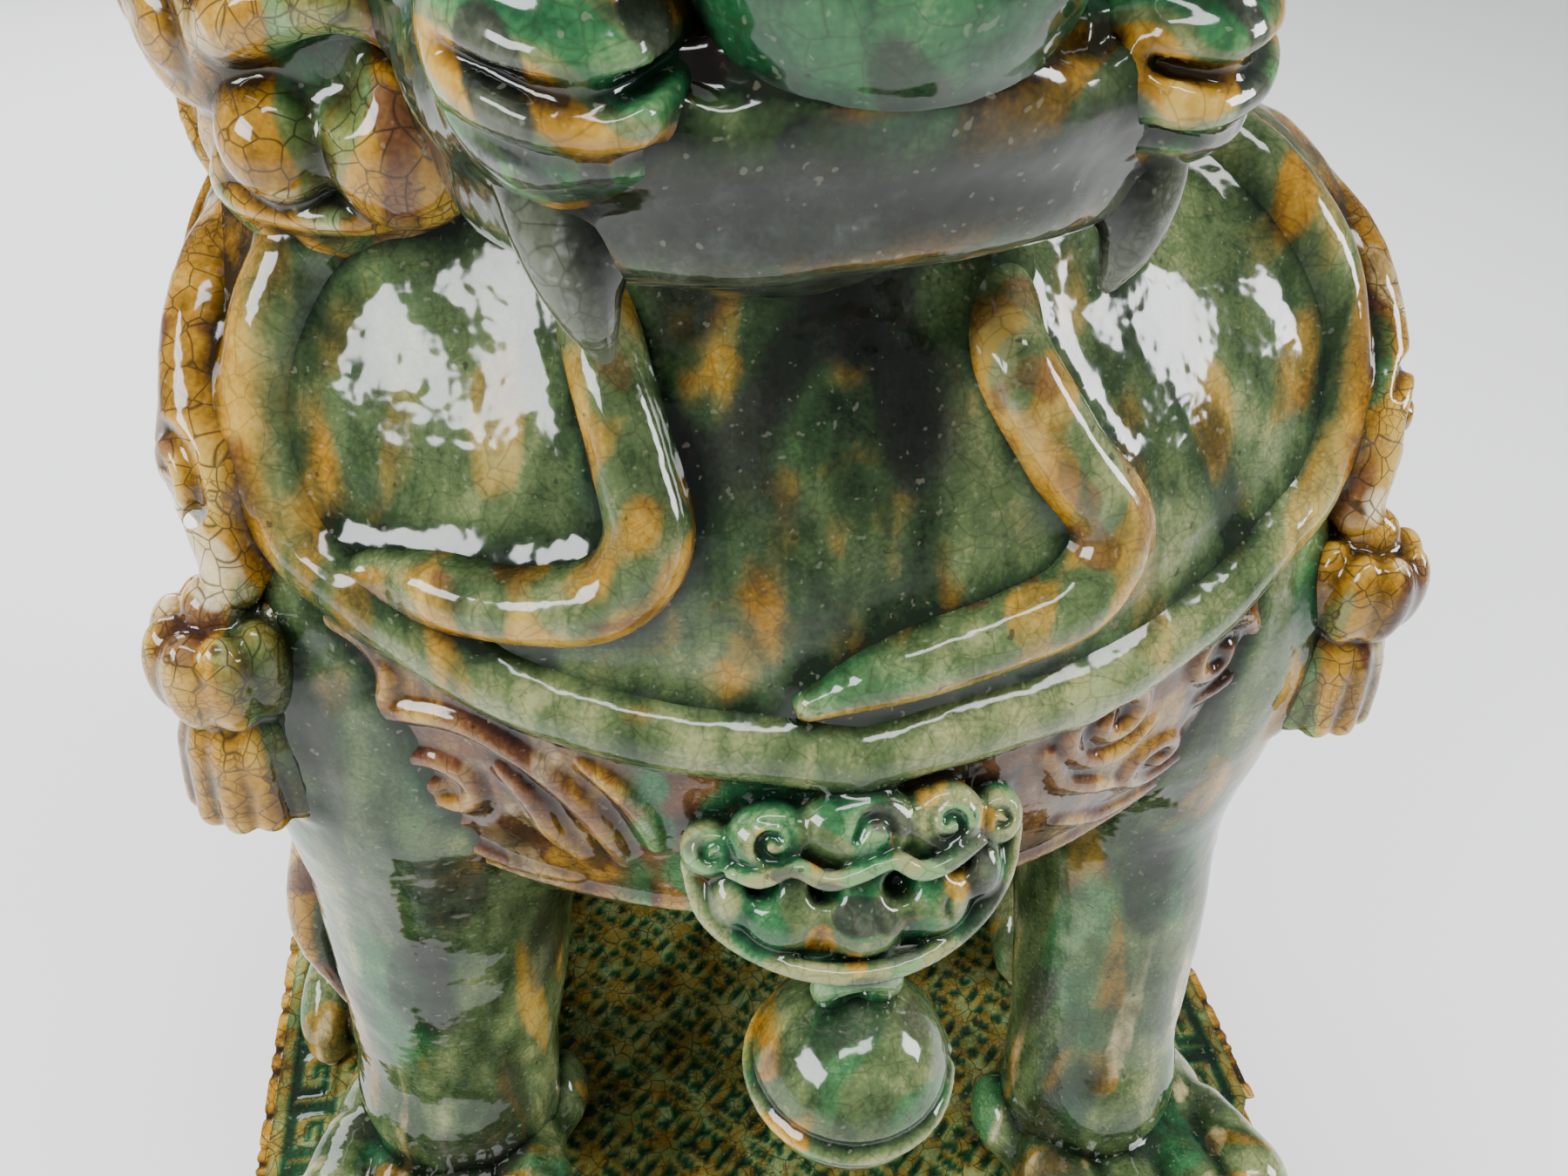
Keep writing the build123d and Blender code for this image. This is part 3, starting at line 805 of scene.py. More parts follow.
TRUNK = trunk_form()
LEGS = {side: leg_form(side) for side in SIDES}
PAWS = {side: paw_form(side) for side in SIDES}
HAUNCHES = {side: haunch_form(side) for side in SIDES}
HIND_PAWS = {side: hind_paw_form(side) for side in SIDES}
ELBOWS, HAUNCH_LOCKS = elbow_form(), haunch_lock_form()
FORE_CLAWS = claws_form([
    (SIDES[side] * 118 + t * 24, {"left": -116, "right": -146}[side] - 39 + 5 * abs(t), 162, 6.2)
    for side in SIDES for t in TOES
])
HIND_CLAWS = claws_form([
    (s * 134 + t * 18.5, -26 - 30 + 4 * abs(t), 161, 5) for s in (-1, 1) for t in TOES
])


# ---- collar and harness

# A point on the collar's band, and the way up its tilt
COLLAR_AT = vec(0, -152, 405)
COLLAR_UP = turn(0, 41) @ vec(0, 0, 1)


def beard_tint(points, normal):
    under = ease(0.3, -0.5, normal[:, 2])
    run = ease(424, 440, points[:, 2])
    return {"amber": 0.6 * under + 0.6 * run * ease(-0.5, 0.4, ripple(points, 16, 66)),
            "brown": 0.55 * run * ease(0.2, 0.7, ripple(points, 13, 68)),
            "emerald": 0.6 * ease(-0.1, 0.6, ripple(points, 26, 67)) * (1 - under) * (1 - run)}


def rim_z(x):
    """Height of the collar's roll at a distance across the chest."""
    return 404 + 0.0026 * x * x * (0.55 + 0.45 * abs(x) / 140)


# Across and up, where the roll climbs over a shoulder
ROLL_ENDS = [(120, 449), (121, 463), (117, 478), (109, 491), (98, 502), (84, 510)]


def roll_form():
    """The raised roll, laid on the body along a rising curve and up over the shoulders."""
    places = []
    for x in np.linspace(-115, 115, 25):
        places.append(landed(TRUNK, x, rim_z(x) - 4 * exp(-(x / 13) ** 2), -0.5))
    ends = [[landed(TRUNK, s * x, z, -1.5) for x, z in ROLL_ENDS] for s in (-1, 1)]
    places = ends[0][::-1] + places + ends[1]
    return Form().limb(places, [9.0] * len(places), 0, 3)


def band_paths(side):
    """Raised scrolls and leaves on one half of the band: lists of chest places with a radius."""
    def lay(flat, radius, lift=3.0):
        return [landed(TRUNK, x, z, lift) for x, z in flat], radius

    def spiral(x, z, size, hand, turns, start, radius):
        return lay(scroll(x, z, size, hand, start, turns, 0.12, 16), radius)

    if side == "left":
        return [
            spiral(-112, 412, 15, -1, 1.5, 0.4, 3.0),
            spiral(-92, 380, 14, 1, 1.4, 2.4, 3.0),
            lay([(-112, 394), (-100, 402), (-86, 404), (-74, 398), (-66, 388)], 3.2),
            lay([(-78, 392), (-72, 384), (-68, 372), (-62, 362)], 3.4),
            lay([(-70, 396), (-62, 386), (-56, 374), (-52, 362)], 3.4),
            lay([(-60, 398), (-52, 390), (-47, 380), (-45, 370)], 3.2),
            lay([(-104, 372), (-94, 360), (-80, 352), (-64, 348)], 3.0),
        ]
    return [
        spiral(62, 398, 15, 1, 1.5, 2.6, 3.0),
        spiral(92, 404, 14, -1, 1.4, 0.8, 2.8),
        spiral(82, 374, 13, 1, 1.3, 4.4, 2.8),
        lay([(46, 392), (52, 380), (62, 374), (72, 368)], 3.0),
        lay([(102, 392), (110, 400), (118, 410), (124, 420)], 3.0),
        lay([(56, 360), (70, 354), (86, 354), (100, 362), (108, 374)], 3.0),
    ]


MEDALLION_AT = vec(0, -167, 374)
MEDALLION_AXES = axes((0, -0.86, 0.51), (0, 0.51, 0.86))


def medallion_form():
    """The cloud-headed pendant, tipped up: a hooked upper row over lower lobes, in a raised rim."""
    def at(x, v, lift=0.0):
        return MEDALLION_AT + MEDALLION_AXES @ vec(0.82 * x, 0.9 * v, lift - 0.004 * x * x)

    def lay(flat, radius, lift, k=1.5, cut=False):
        form.limb([at(x, v, lift) for x, v in flat], tapered(radius, len(flat), 0.7, 0.6), k, 4, cut)

    def coil(x, v, size, hand, start, radius=1.5):
        lay(scroll(x, v, size, hand, start, 1.25, 0.22, 12, 0.9), radius, 8.6, 1, True)

    def lobes(places, lift, thick):
        for x, v, rx, rv in places:
            form.ball(at(x, v, lift), (0.84 * rx, 0.92 * rv, thick), 2, MEDALLION_AXES)

    form = Form().ball(at(0, -1, -8), (36, 23, 13), 0, MEDALLION_AXES)
    lobes([(-21, -9, 12, 9.5), (0, -12, 12, 9.5), (20, -9, 11, 9.5), (-35, -4, 7.5, 8), (35, -3, 7, 8)], 0, 7)
    for x, v, r in ((-11, -2, 4.2), (10, -3, 4.2), (-28, 0, 3.6), (28, 1, 3.4)):
        form.dent(at(x, v, 6), (r, r, 7), 2, MEDALLION_AXES)
    lobes([(-25, 12, 12, 9), (-1, 14, 16, 10.5), (23, 13, 12, 9.5), (40, 11, 8, 8), (-41, 9, 8, 7)], 2.5, 7)
    lay([(-37, 5), (-29, 3), (-20, 6), (-11, 2), (-2, 3.5), (7, 6), (15, 2), (24, 3.5), (34, 7)], 2.2, 8, 1.5)
    lay([(-3, 12), (0, 17), (6, 17), (8, 11), (4, 8)], 1.7, 9, 1, True)
    coil(24, 13, 7.5, -1, 2.6)
    coil(-25, 12, 7, 1, 0.4)
    coil(40, 11, 5.2, 1, 3.4, 1.3)
    coil(-41, 9, 4.8, -1, 0.0, 1.3)
    for x in (-17, 3, 23):
        lay([(x + 3, -5), (x, -9), (x + 2, -14), (x - 1, -19)], 1.3, 7.4, 1, True)
    lay([(-47, 4), (-43, -8), (-33, -17), (-17, -23.5), (1, -25.5), (18, -23), (33, -16), (43, -6), (48, 6)],
        2.5, 2.5, 2)
    return form


def bell_form():
    centre, r = vec(0, -177, 313), 25.0
    form = Form().ball(centre, (r, r, r))

    def ring(out, rise):
        return circle(centre + vec(0, 0, rise), vec(out, 0, 0), vec(0, out, 0), 33)

    form.limb(ring(r - 0.2, 0), [2.0] * 33, 2, 1)
    for rise in (-4.2, 4.2):
        form.limb(ring(sqrt(r * r - rise * rise) + 0.2, rise), [1.0] * 33, 1, 1, cut=True)
    form.cut(block(centre + vec(0, 0, -22), (17, 1.8, 12), 1.5), 2)
    for s in (-1, 1):
        form.dent(centre + vec(s * 17, 0, -17), (4.2, 4.2, 4.2), 2)
    return form


def loop_form():
    return Form().limb(circle(vec(0, -175, 343), vec(7.5, 0, 0), vec(0, -2.625, 7.5), 21), [3.8] * 21, 0, 1)


def tassel_form(side):
    """A petalled knob over a ribbed skirt."""
    s = SIDES[side]
    c = vec(s * 137, -115, 408)
    form = Form().ball(c, (14, 15, 15))
    for i in range(9):
        a = 2 * pi * i / 9
        form.ball(c + vec(11 * cos(a), 12 * sin(a), 1), (6.5, 6.5, 13), 2)
    form.ball(c + vec(0, 0, 15), (7, 7, 6), 3)
    for i in range(12):
        a = 2 * pi * (i + 0.5) / 12
        d = vec(cos(a), sin(a), 0)
        form.limb([c + 6 * d + vec(0, 0, -10), c + 11 * d + vec(0, 0, -22), c + 13.5 * d + vec(0, 0, -40)],
                  [4, 4.6, 4.2], 1.2, 3)
    form.ball(c + vec(0, 0, -24), (10, 10, 17), 2)
    return form


def knot_form(side):
    """The amber strap that rises from the tassel over the shoulder."""
    s = SIDES[side]
    form = Form()
    for dy in (-6, 6):
        strand = sided(s, (132, dy - 108, 428), (134, dy - 96, 452), (131, dy - 74, 478), (120, dy - 50, 496))
        form.limb(strand, [6, 9, 9, 5], 2 if dy > 0 else 0, 5)
    core = sided(s, (130, -107, 430), (132, -95, 453), (129, -74, 478), (119, -50, 496))
    form.limb(core, [8, 10, 10, 7], 2, 5)
    snail(form, (s * 136, -101, 450), (s, -0.6, 0.15), 14, s, 1.3, 0.5, k=3)
    return form


def beard_form(side):
    """A curled lock under the chin that ends in a hook on the chest."""
    runs = {
        "left": [(-51, 484), (-47, 468), (-45, 453), (-53, 441), (-70, 436), (-86, 436), (-101, 437)],
        "right": [(29, 484), (40, 467), (53, 450), (46, 436), (28, 430), (8, 425), (-12, 417)],
    }
    places = [head_foot(side)] + [landed(TRUNK, x, z, 2.5) for x, z in runs[side]]
    return Form().limb(places, [8, 8, 8.5, 9, 9, 8.5, 8, 4], 0, 6)


def head_foot(side):
    """Where a beard lock leaves the jaw."""
    return vec({"left": -52, "right": 29}[side], -106, 494)


ROLL = roll_form()
MEDALLION = medallion_form()
BEARDS = {side: beard_form(side) for side in SIDES}
TASSELS = {side: tassel_form(side) for side in SIDES}
KNOTS = {side: knot_form(side) for side in SIDES}
BELL, LOOP = bell_form(), loop_form()


# ---- head

def skull_form():
    """Skull, muzzle, brows' base and the upper lip band, over the open mouth."""
    form = Form().head_ball((0, 8, 32), (79, 80, 74))
    form.head_ball((0, -56, 8), (54, 52, 34), 18)
    for s in (-1, 1):
        form.head_ball((s * 48, -44, 16), (25, 32, 26), 12)
        form.head_dent((s * 38, -76, 54), (21, 18, 17), 8)
        form.limb(heads((s * 14, -74, 40), (s * 34, -80, 32), (s * 56, -66, 36), (s * 64, -44, 48)),
                  [5, 6, 6, 4], 6)
        for i in range(3):
            form.limb(heads((s * 6, -98 + 7 * i, 40 + 6 * i), (s * 20, -90 + 7 * i, 34 + 5 * i),
                            (s * 30, -86 + 4 * i, 24 + 5 * i)), [4.5, 4.5, 3], 4)
    form.limb(heads((0, -40, 72), (0, -68, 56), (0, -92, 40)), [19, 17, 15], 12)
    form.head_dent((0, -60, -40), (40, 46, 20), 6)
    for z, out, r in ((-13, 1.0, 11), (-27, 0.98, 9)):
        lip = [(-52, -18, 0), (-52, -52, 0), (-47, -84, 1), (-30, -103, 3), (0, -109, 4),
               (30, -103, 3), (47, -84, 1), (52, -52, 0), (52, -18, 0)]
        form.limb([head(x * out, y * out, z + rise) for x, y, rise in lip], [r] * 9, 6, 5)
    form.limb(heads((-50, -90, -3), (-31, -110, -2), (0, -118, 0), (31, -110, -2), (50, -90, -3)),
              [1.8, 2.2, 2.2, 2.2, 1.8], 3, 5, cut=True)
    return form


def lobe_form(side):
    s = SIDES[side]
    x, low = {"left": (-38, -6), "right": (40, -11)}[side]
    run = heads((x, -66, 10), (x + s * 3, -92, 9 + low), (x + s * 2, -104, 6 + low), (x, -112, 2 + low))
    form = Form().limb(run, [16, 17, 14, 8], 0, 6)
    form.head_ball((x + s * 4, -96, 3 + low), (14, 20, 17), 6)
    for i in range(3):
        z = 14 - 9 * i + low
        groove = heads((x - s * 12, -108, z + 2), (x + s * 4, -119, z), (x + s * 18, -104, z + 3))
        form.limb(groove, [1.2, 1.8, 1.2], 3, 4, cut=True)
    return form


def nose_form():
    form = Form().head_ball((0, -108, 10), (26, 18, 20))
    for s in (-1, 1):
        form.head_ball((s * 18, -106, 20), (12, 14, 13), 5)
        form.head_dent((s * 13, -122, 24), (6, 9, 5), 3)
    return form


def jaw_form():
    """The lower jaw, which falls back from its rim to the throat."""
    form = Form().head_ball((0, -42, -44), (36, 36, 17))
    form.limb(heads((-33, -24, -37), (-33, -56, -37), (-20, -73, -38), (0, -77, -38), (20, -73, -38),
                    (33, -56, -37), (33, -24, -37)), [6, 6.5, 6.5, 6.5, 6.5, 6.5, 6], 5, 5)
    return form.head_dent((0, -46, -34), (25, 27, 8), 4)


def tongue_form():
    form = Form().limb(heads((0, -28, -38), (0, -50, -33), (0, -70, -33), (0, -76, -36)), [10, 10, 9, 7], 0)
    for s in (-1, 1):
        form.limb(heads((s * 8, -28, -38), (s * 9, -50, -34), (s * 7, -68, -34)), [9, 9, 8], 3)
    return form.cut(segment(head(0, -30, -21), head(0, -80, -24), 3, 2), 3)


def teeth_form(y, z, tall):
    form = Form()
    for i in range(-2, 3):
        form.add(block(head(i * 11.5, y + 1.6 * i * i, z), (5, 4, tall), 3, HEAD_TURN))
    return form


def fangs_form():
    form = Form()
    for s in (-1, 1):
        form.limb(heads((s * 43, -90, -12), (s * 43, -98, -24), (s * 42, -102, -34), (s * 40, -101, -43)),
                  [9, 8, 5, 1.8], 0)
    return form


def eyes_form():
    form = Form()
    for s in (-1, 1):
        form.head_ball((s * 38, -60, 53), (17, 17, 17))
        form.head_ball((s * 39, -75.5, 52), (7, 3.4, 7), 1.5)
    return form


def brow_form(side):
    s = SIDES[side]
    form = Form()
    form.limb(heads((s * 10, -72, 66), (s * 30, -78, 82), (s * 56, -58, 84), (s * 76, -28, 74)),
              [8, 12, 11, 4], 0, 6)
    for i in range(4):
        t = i / 3
        snail(form, head(s * (16 + 46 * t), -80 + 30 * t * t, 84 + 6 * t - 10 * t * t),
              HEAD_TURN @ vec(s * 0.25 * (1 + t), -0.85, 0.6), 11.5 - t, s, 1.3, 1 + i, k=2.5)
    return form


def ear_form(side):
    """A short folded ear that lies back."""
    s = SIDES[side]
    form = Form()
    form.ball(head(s * 92, 6, 50), (15, 15, 25), 0, HEAD_TURN @ turn(1, s * 24))
    form.ball(head(s * 101, 12, 30), (9, 11, 14), 6, HEAD_TURN @ turn(1, s * 10))
    form.dent(head(s * 101, -6, 44), (8, 10, 17), 4, HEAD_TURN @ turn(1, s * 24))
    return form


def cheek_form(side):
    """The big two-humped curl below the ear, with a ledge under it."""
    s = SIDES[side]
    form = Form().head_ball((s * 72, 0, -8), (24, 28, 36))
    form.head_ball((s * 85, -18, -36), (11, 13, 12), 4)
    form.head_ball((s * 63, -24, -36), (15, 15, 17), 4)
    form.head_dent((s * 74, -34, -22), (5.5, 9, 7), 5)
    ridge_run = heads((s * 58, -36, -14), (s * 70, -33, -9), (s * 86, -24, -14), (s * 94, -10, -22))
    form.limb(ridge_run, [5, 6, 6, 4], 4)
    snail(form, head(s * 78, -26, 14), HEAD_TURN @ vec(s * 0.45, -0.9, 0.1), 19, s, 1.5, 2.2, k=4)
    form.head_ball((s * 72, 2, -50), (28, 30, 8), 1.5)
    return form


def crown_form():
    """The boss of coiled hair on top of the head."""
    form = Form().head_ball((0, 4, 102), (40, 42, 36))
    snail(form, head(0, 2, 128), HEAD_TURN @ vec(0, -0.12, 1), 26, 1, 1.7, 0, (0, 1, 0), k=5, lift=0.5)
    for i in range(7):
        a = 2 * pi * (i + 0.5) / 7
        p = head(36 * sin(a), 4 - 37 * cos(a), 104)
        n = HEAD_TURN @ vec(sin(a), -cos(a), 0.45)
        snail(form, p, n, 16.5, 1 if i % 2 else -1, 1.4, i, k=3)
    return form


def mane_rows(form, centre, radii, rows, size, hand=1):
    """Rows of coiled locks over an ellipsoid in the head's frame: azimuths from-to, elevation, count."""
    for j, (start, stop, elevation, count) in enumerate(rows):
        for i in range(count):
            azimuth = start + (stop - start) * (i + 0.5) / count
            p, n = on_ball(centre, radii, azimuth, elevation, HEAD_TURN)
            snail(form, p - n * size * 0.18, n, size, hand if (i + j) % 2 else -hand, 1.5, i * 1.7 + j, k=3)
    return form


def nape_form():
    centre, radii = head(0, 58, 6), (60, 66, 96)
    form = Form().ball(centre, radii, 0, HEAD_TURN)
    rows = [(118, 242, 46, 4), (112, 248, 22, 5), (116, 244, 0, 5), (112, 248, -22, 5), (122, 238, -44, 4)]
    return mane_rows(form, centre, radii, rows, 19.5)


def side_mane_form(side):
    s = SIDES[side]
    centre, radii = head(s * 62, 26, -8), (42, 54, 80)
    form = Form().ball(centre, radii, 0, HEAD_TURN)
    rows = [(s * 40, s * 140, 42, 3), (s * 48, s * 142, 16, 3), (s * 40, s * 140, -8, 3),
            (s * 30, s * 142, -32, 3), (s * 40, s * 140, -58, 2)]
    return mane_rows(form, centre, radii, rows, 20, s)


def tail_root_form():
    form = Form().limb([(0, 158, 196), (0, 188, 214), (0, 198, 250), (0, 188, 300)], [23, 24, 21, 18], 0, 6)
    snail(form, (0, 212, 238), (0, 1, 0.1), 21, 1, 1.6, 0, k=4)
    return form


def tail_lock_form(name):
    runs = {
        "centre": [(0, 184, 288), (0, 190, 345), (0, 186, 405), (0, 170, 478)],
        "left": [(-20, 184, 276), (-50, 184, 318), (-62, 180, 372), (-44, 172, 434)],
        "right": [(20, 184, 276), (50, 184, 318), (62, 180, 372), (44, 172, 434)],
    }
    form = Form()
    flame(form, runs[name], [14, 21, 17, 3], 3, 0.42, 5, (0, 1, 0))
    if name == "centre":
        snail(form, (0, 200, 318), (0, 1, 0.1), 19, -1, 1.5, 0, k=3)
    else:
        s = SIDES[name]
        snail(form, (s * 44, 196, 312), (s * 0.2, 1, 0.1), 19, s, 1.5, 0, k=3)
    return form


SKULL, NOSE, JAW = skull_form(), nose_form(), jaw_form()
LOBES = {side: lobe_form(side) for side in SIDES}
EYES, CROWN, NAPE = eyes_form(), crown_form(), nape_form()
BROWS = {side: brow_form(side) for side in SIDES}
EARS = {side: ear_form(side) for side in SIDES}
CHEEKS = {side: cheek_form(side) for side in SIDES}
MANES = {side: side_mane_form(side) for side in SIDES}
TAIL_ROOT = tail_root_form()
TAIL = {name: tail_lock_form(name) for name in ("centre", "left", "right")}


# ---- where colours run

def streaks(points, width, length, seed):
    """Noise drawn out downwards, as glaze that has run."""
    return ripple(points * vec(1, 1, width / length), width, seed)


def in_head(points):
    return (points - HEAD_AT) @ HEAD_TURN


def body_tint(points, normal):
    x, y, z = points.T
    front = ease(-20, -90, y)
    wide = np.abs(x)
    side = ease(112, 128, wide) * ease(418, 440, z) * ease(-10, -50, y)
    bib = front * ease(400, 430, z) * ease(122, 112, wide)
    return {
        "amber": 0.9 * side
        + bib * 0.55 * ease(70, 112, wide) * ease(-0.5, 0.5, streaks(points, 18, 60, 11))
        + 0.4 * ease(0.35, 1.1, streaks(points, 20, 130, 12))
        + 0.3 * bib * ease(70, 30, np.abs(x + 12)) * ease(-0.2, 0.6, ripple(points, 11, 16)),
        "emerald": 0.34 * ease(0.2, 1.0, streaks(points, 60, 110, 13)),
        "brown": 0.6 * side * ease(-0.2, 0.6, ripple(points, 20, 14)),
        # Painted shadow: the bib is darkened under the chin, where the head's shade falls on it
        "dark": 0.75 * bib * ease(48, 20, np.abs(x + 12)) * ease(436, 470, z)
        * ease(-0.9, 0.3, ripple(points, 26, 15)),
    }


def leg_tint(points, normal):
    z = points[:, 2]
    return {
        "amber": 0.55 * ease(0.45, 0.9, streaks(points, 15, 110, 21)),
        "emerald": 0.7 * ease(0.0, 0.9, streaks(points, 30, 90, 22)),
        "cream": 0.42 * ease(0.5, 1.0, streaks(points, 16, 110, 23)) * ease(330, 250, z),
        "dark": 0.6 * ease(0.2, 0.95, streaks(points, 24, 80, 24)),
    }


def locks_tint(points, normal):
    """Amber hair with green and brown runs."""
    return {
        "brown": 0.75 * ease(0.35, 0.85, streaks(points, 20, 50, 31)),
        "emerald": 0.6 * ease(0.6, 0.95, streaks(points, 28, 70, 32)),
        "cream": 0.5 * ease(0.55, 0.95, ripple(points, 24, 33)),
    }


def skull_tint(points, normal):
    ly, lz = in_head(points).T[1:]
    lip = np.exp(-((lz + 19) / 13.0) ** 2) * ease(0, -30, ly)
    muzzle = ease(-20, -60, ly) * ease(80, 40, lz)
    return {
        # Dark mask: the lip band's own dark glaze, plus painted shade below the lip at the front of the
        # muzzle
        "dark": np.maximum(0.85 * lip, 0.8 * ease(-24, -30, lz) * ease(0, -20, ly)),
        "silver": 0.75 * lip * ease(0.25, 0.8, ripple(points, 4.5, 41)) + 0.4 * muzzle
        * ease(0.55, 0.9, ripple(points, 20, 42)),
        "amber": 0.8 * muzzle * ease(0.1, 0.6, ripple(points * vec(0.5, 0.5, 1), 16, 43))
        + 0.6 * ease(0.4, 0.8, streaks(points, 22, 70, 44)),
        "emerald": 0.8 * ease(0.0, 0.7, ripple(points, 40, 45)),
        "brown": 0.7 * ease(0.5, 0.9, ripple(points, 26, 46)) * muzzle,
    }


def lobe_tint(points, normal):
    lz = in_head(points)[:, 2]
    band = np.sin(lz * 0.42 + 1.6 * ripple(points, 30, 51))
    return {
        "emerald": 0.95 * ease(-0.1, 0.6, band),
        "amber": 0.8 * ease(0.1, 0.7, -band),
        "dark": 0.8 * ease(0.35, 0.8, ripple(points, 17, 52)),
        "silver": 0.8 * ease(-2, -12, lz) * ease(0.0, 0.6, ripple(points, 10, 53)),
    }


def nose_tint(points, normal):
    return {"emerald": np.full(len(points), 0.9), "dark": 0.6 * ease(0.4, 0.9, ripple(points, 20, 55))}


def band_tint(side):
    def tint(points, normal):
        x = points[:, 0]
        if side == "left":
            olive = ease(-62, -40, x)
            return {"amber": 0.55 * ease(-0.2, 0.6, ripple(points, 26, 61)),
                    "emerald": olive * ease(-0.9, 0.3, ripple(points, 18, 62)),
                    "cream": 0.35 * ease(0.5, 0.9, ripple(points, 18, 63))}
        return {"amber": 0.5 * ease(0.1, 0.8, ripple(points, 24, 64)),
                "emerald": 0.7 * ease(40, 10, x) * ease(-0.4, 0.4, ripple(points, 20, 65))}
    return tint


def medallion_tint(points, normal):
    return {
        "emerald": 0.95 * ease(-0.25, 0.45, ripple(points, 17, 71)),
        "amber": 0.6 * ease(0.35, 0.8, ripple(points, 14, 72)),
        "dark": 0.7 * ease(0.55, 0.95, ripple(points, 20, 73)),
    }


def bell_tint(points, normal):
    x, z = points.T[[0, 2]]
    return {
        "amber": 0.95 * ease(8, -14, x + 0.8 * (z - 308))
        * ease(-0.9, -0.1, ripple(points, 18, 75)),
        "emerald": 0.6 * ease(0.1, 0.7, ripple(points, 22, 76)),
        "dark": 0.6 * ease(318, 336, z) * ease(-0.3, 0.5, ripple(points, 16, 77)),
    }


def fang_tint(points, normal):
    return {"dark": np.full(len(points), 0.95), "silver": 0.45 * ease(0.3, 0.8, ripple(points, 5, 78))}


def tooth_tint(points, normal):
    return {"dark": 0.45 + 0.3 * ripple(points, 12, 79), "amber": np.full(len(points), 0.4)}


def claw_tint(points, normal):
    z = points[:, 2]
    return {"amber": 0.6 * ease(166, 172, z), "emerald": 0.7 * ease(168, 174, z)}


def eye_tint(points, normal):
    lx, ly, lz = in_head(points).T
    r = np.hypot(np.abs(lx) - 39, lz - 52)
    front = (ly < -60).astype(float)
    return {"dark": 1.0 * (r < 7.6) * front, "amber": 0.9 * (r >= 7.6) * (r < 11) * front}


# ---- the clay pieces

class Skin(Form):
    """A form's own surface grown by a distance, between two heights up the collar's tilt."""

    def __init__(self, base, proud, above, below, low, high):
        super().__init__()
        self.base, self.proud, self.above, self.below = base, proud, above, below
        self.low, self.high = vec(*low), vec(*high)

    def limits(self):
        return self.low, self.high

    def on(self, grid):
        x, y, z = ((a - at) * way for a, at, way in zip(grid.axes, COLLAR_AT, COLLAR_UP))
        up = x[:, None, None] + y[None, :, None] + z[None, None, :]
        bead = 2.2 * np.exp(-((up - self.below - 3.5) / 2.4) ** 2)
        d = self.base.on(grid) - self.proud - bead
        d = np.maximum(d, np.maximum(up - self.above, self.below - up))
        for sign, shapes, k in self.steps:
            single = Form()
            single.steps.append((1, shapes, k))
            other = single.on(grid)
            d = smooth_min(d, other, k) if sign == 1 else -smooth_min(-d, other, k)
        return d


BANDS = {}
for side, s in SIDES.items():
    low = (-150, -170, 325) if s < 0 else (-1, -170, 325)
    high = (1, -36, 500) if s < 0 else (150, -36, 500)
    BANDS[side] = Skin(TRUNK, 3.2, -3, -59, low, high)
    for points, radius in band_paths(side):
        BANDS[side].limb(points, tapered(radius, len(points), 0.7, 0.6), 1.6, 4)

sculpt("body", TRUNK, GREEN, 2.4,
       [LEGS, HAUNCHES, HIND_PAWS, ROLL, MEDALLION, SKULL, JAW, NAPE, TAIL_ROOT, BANDS, TASSELS, KNOTS, MANES,
        CHEEKS, BEARDS, TAIL], 7, body_tint, nodes=["body_front_half", "body_back_half"])

for side in SIDES:
    leg, paw, haunch, hind_paw = (forms[side] for forms in (LEGS, PAWS, HAUNCHES, HIND_PAWS))
    band, tassel, knot, beard = (forms[side] for forms in (BANDS, TASSELS, KNOTS, BEARDS))
    lobe, brow, ear, cheek, mane = (forms[side] for forms in (LOBES, BROWS, EARS, CHEEKS, MANES))
    for part, form, slot, step, around, fillet, tint, wobble in (
        ("foreleg", leg, GREEN, 2.0, [TRUNK, paw, ELBOWS, band, tassel, haunch], 7, leg_tint, 0.35),
        ("forepaw", paw, GREEN, 1.3, [leg, FORE_CLAWS], 3, leg_tint, 0.35),
        ("haunch", haunch, GREEN, 2.1, [TRUNK, hind_paw, HAUNCH_LOCKS, leg], 6, body_tint, 0.35),
        ("hind_paw", hind_paw, GREEN, 1.3, [haunch, HIND_CLAWS, TRUNK], 3, leg_tint, 0.35),
        ("collar_band", band, BROWN, 0.9, [TRUNK, ROLL, MEDALLION, tassel, leg, knot, beard], 2.2,
         band_tint(side), 0.2),
        ("shoulder_tassel", tassel, AMBER, 0.9, [TRUNK, knot, band, leg], 2.5, locks_tint, 0.2),
        ("strap_knot", knot, AMBER, 1.0, [TRUNK, tassel, ROLL, band], 3, locks_tint, 0.35),
        ("beard_lock", beard, GREEN, 1.0, [TRUNK, ROLL, band, JAW, MEDALLION], 4, beard_tint, 0.35),
        ("lip_lobe", lobe, GREEN, 1.0, [SKULL, NOSE], 3, lobe_tint, 0.35),
        ("brow", brow, AMBER, 0.9, [SKULL, EYES, CROWN], 3, locks_tint, 0.35),
        ("ear", ear, AMBER, 1.1, [SKULL, mane], 4, locks_tint, 0.35),
        ("cheek_lock", cheek, AMBER, 1.0, [SKULL, mane, TRUNK, ear], 3, locks_tint, 0.35),
        ("mane", mane, AMBER, 1.4, [SKULL, NAPE, cheek, ear, TRUNK, CROWN], 3, locks_tint, 0.35),
    ):
        sculpt(f"{side}_{part}", form, slot, step, around, fillet, tint, wobble)

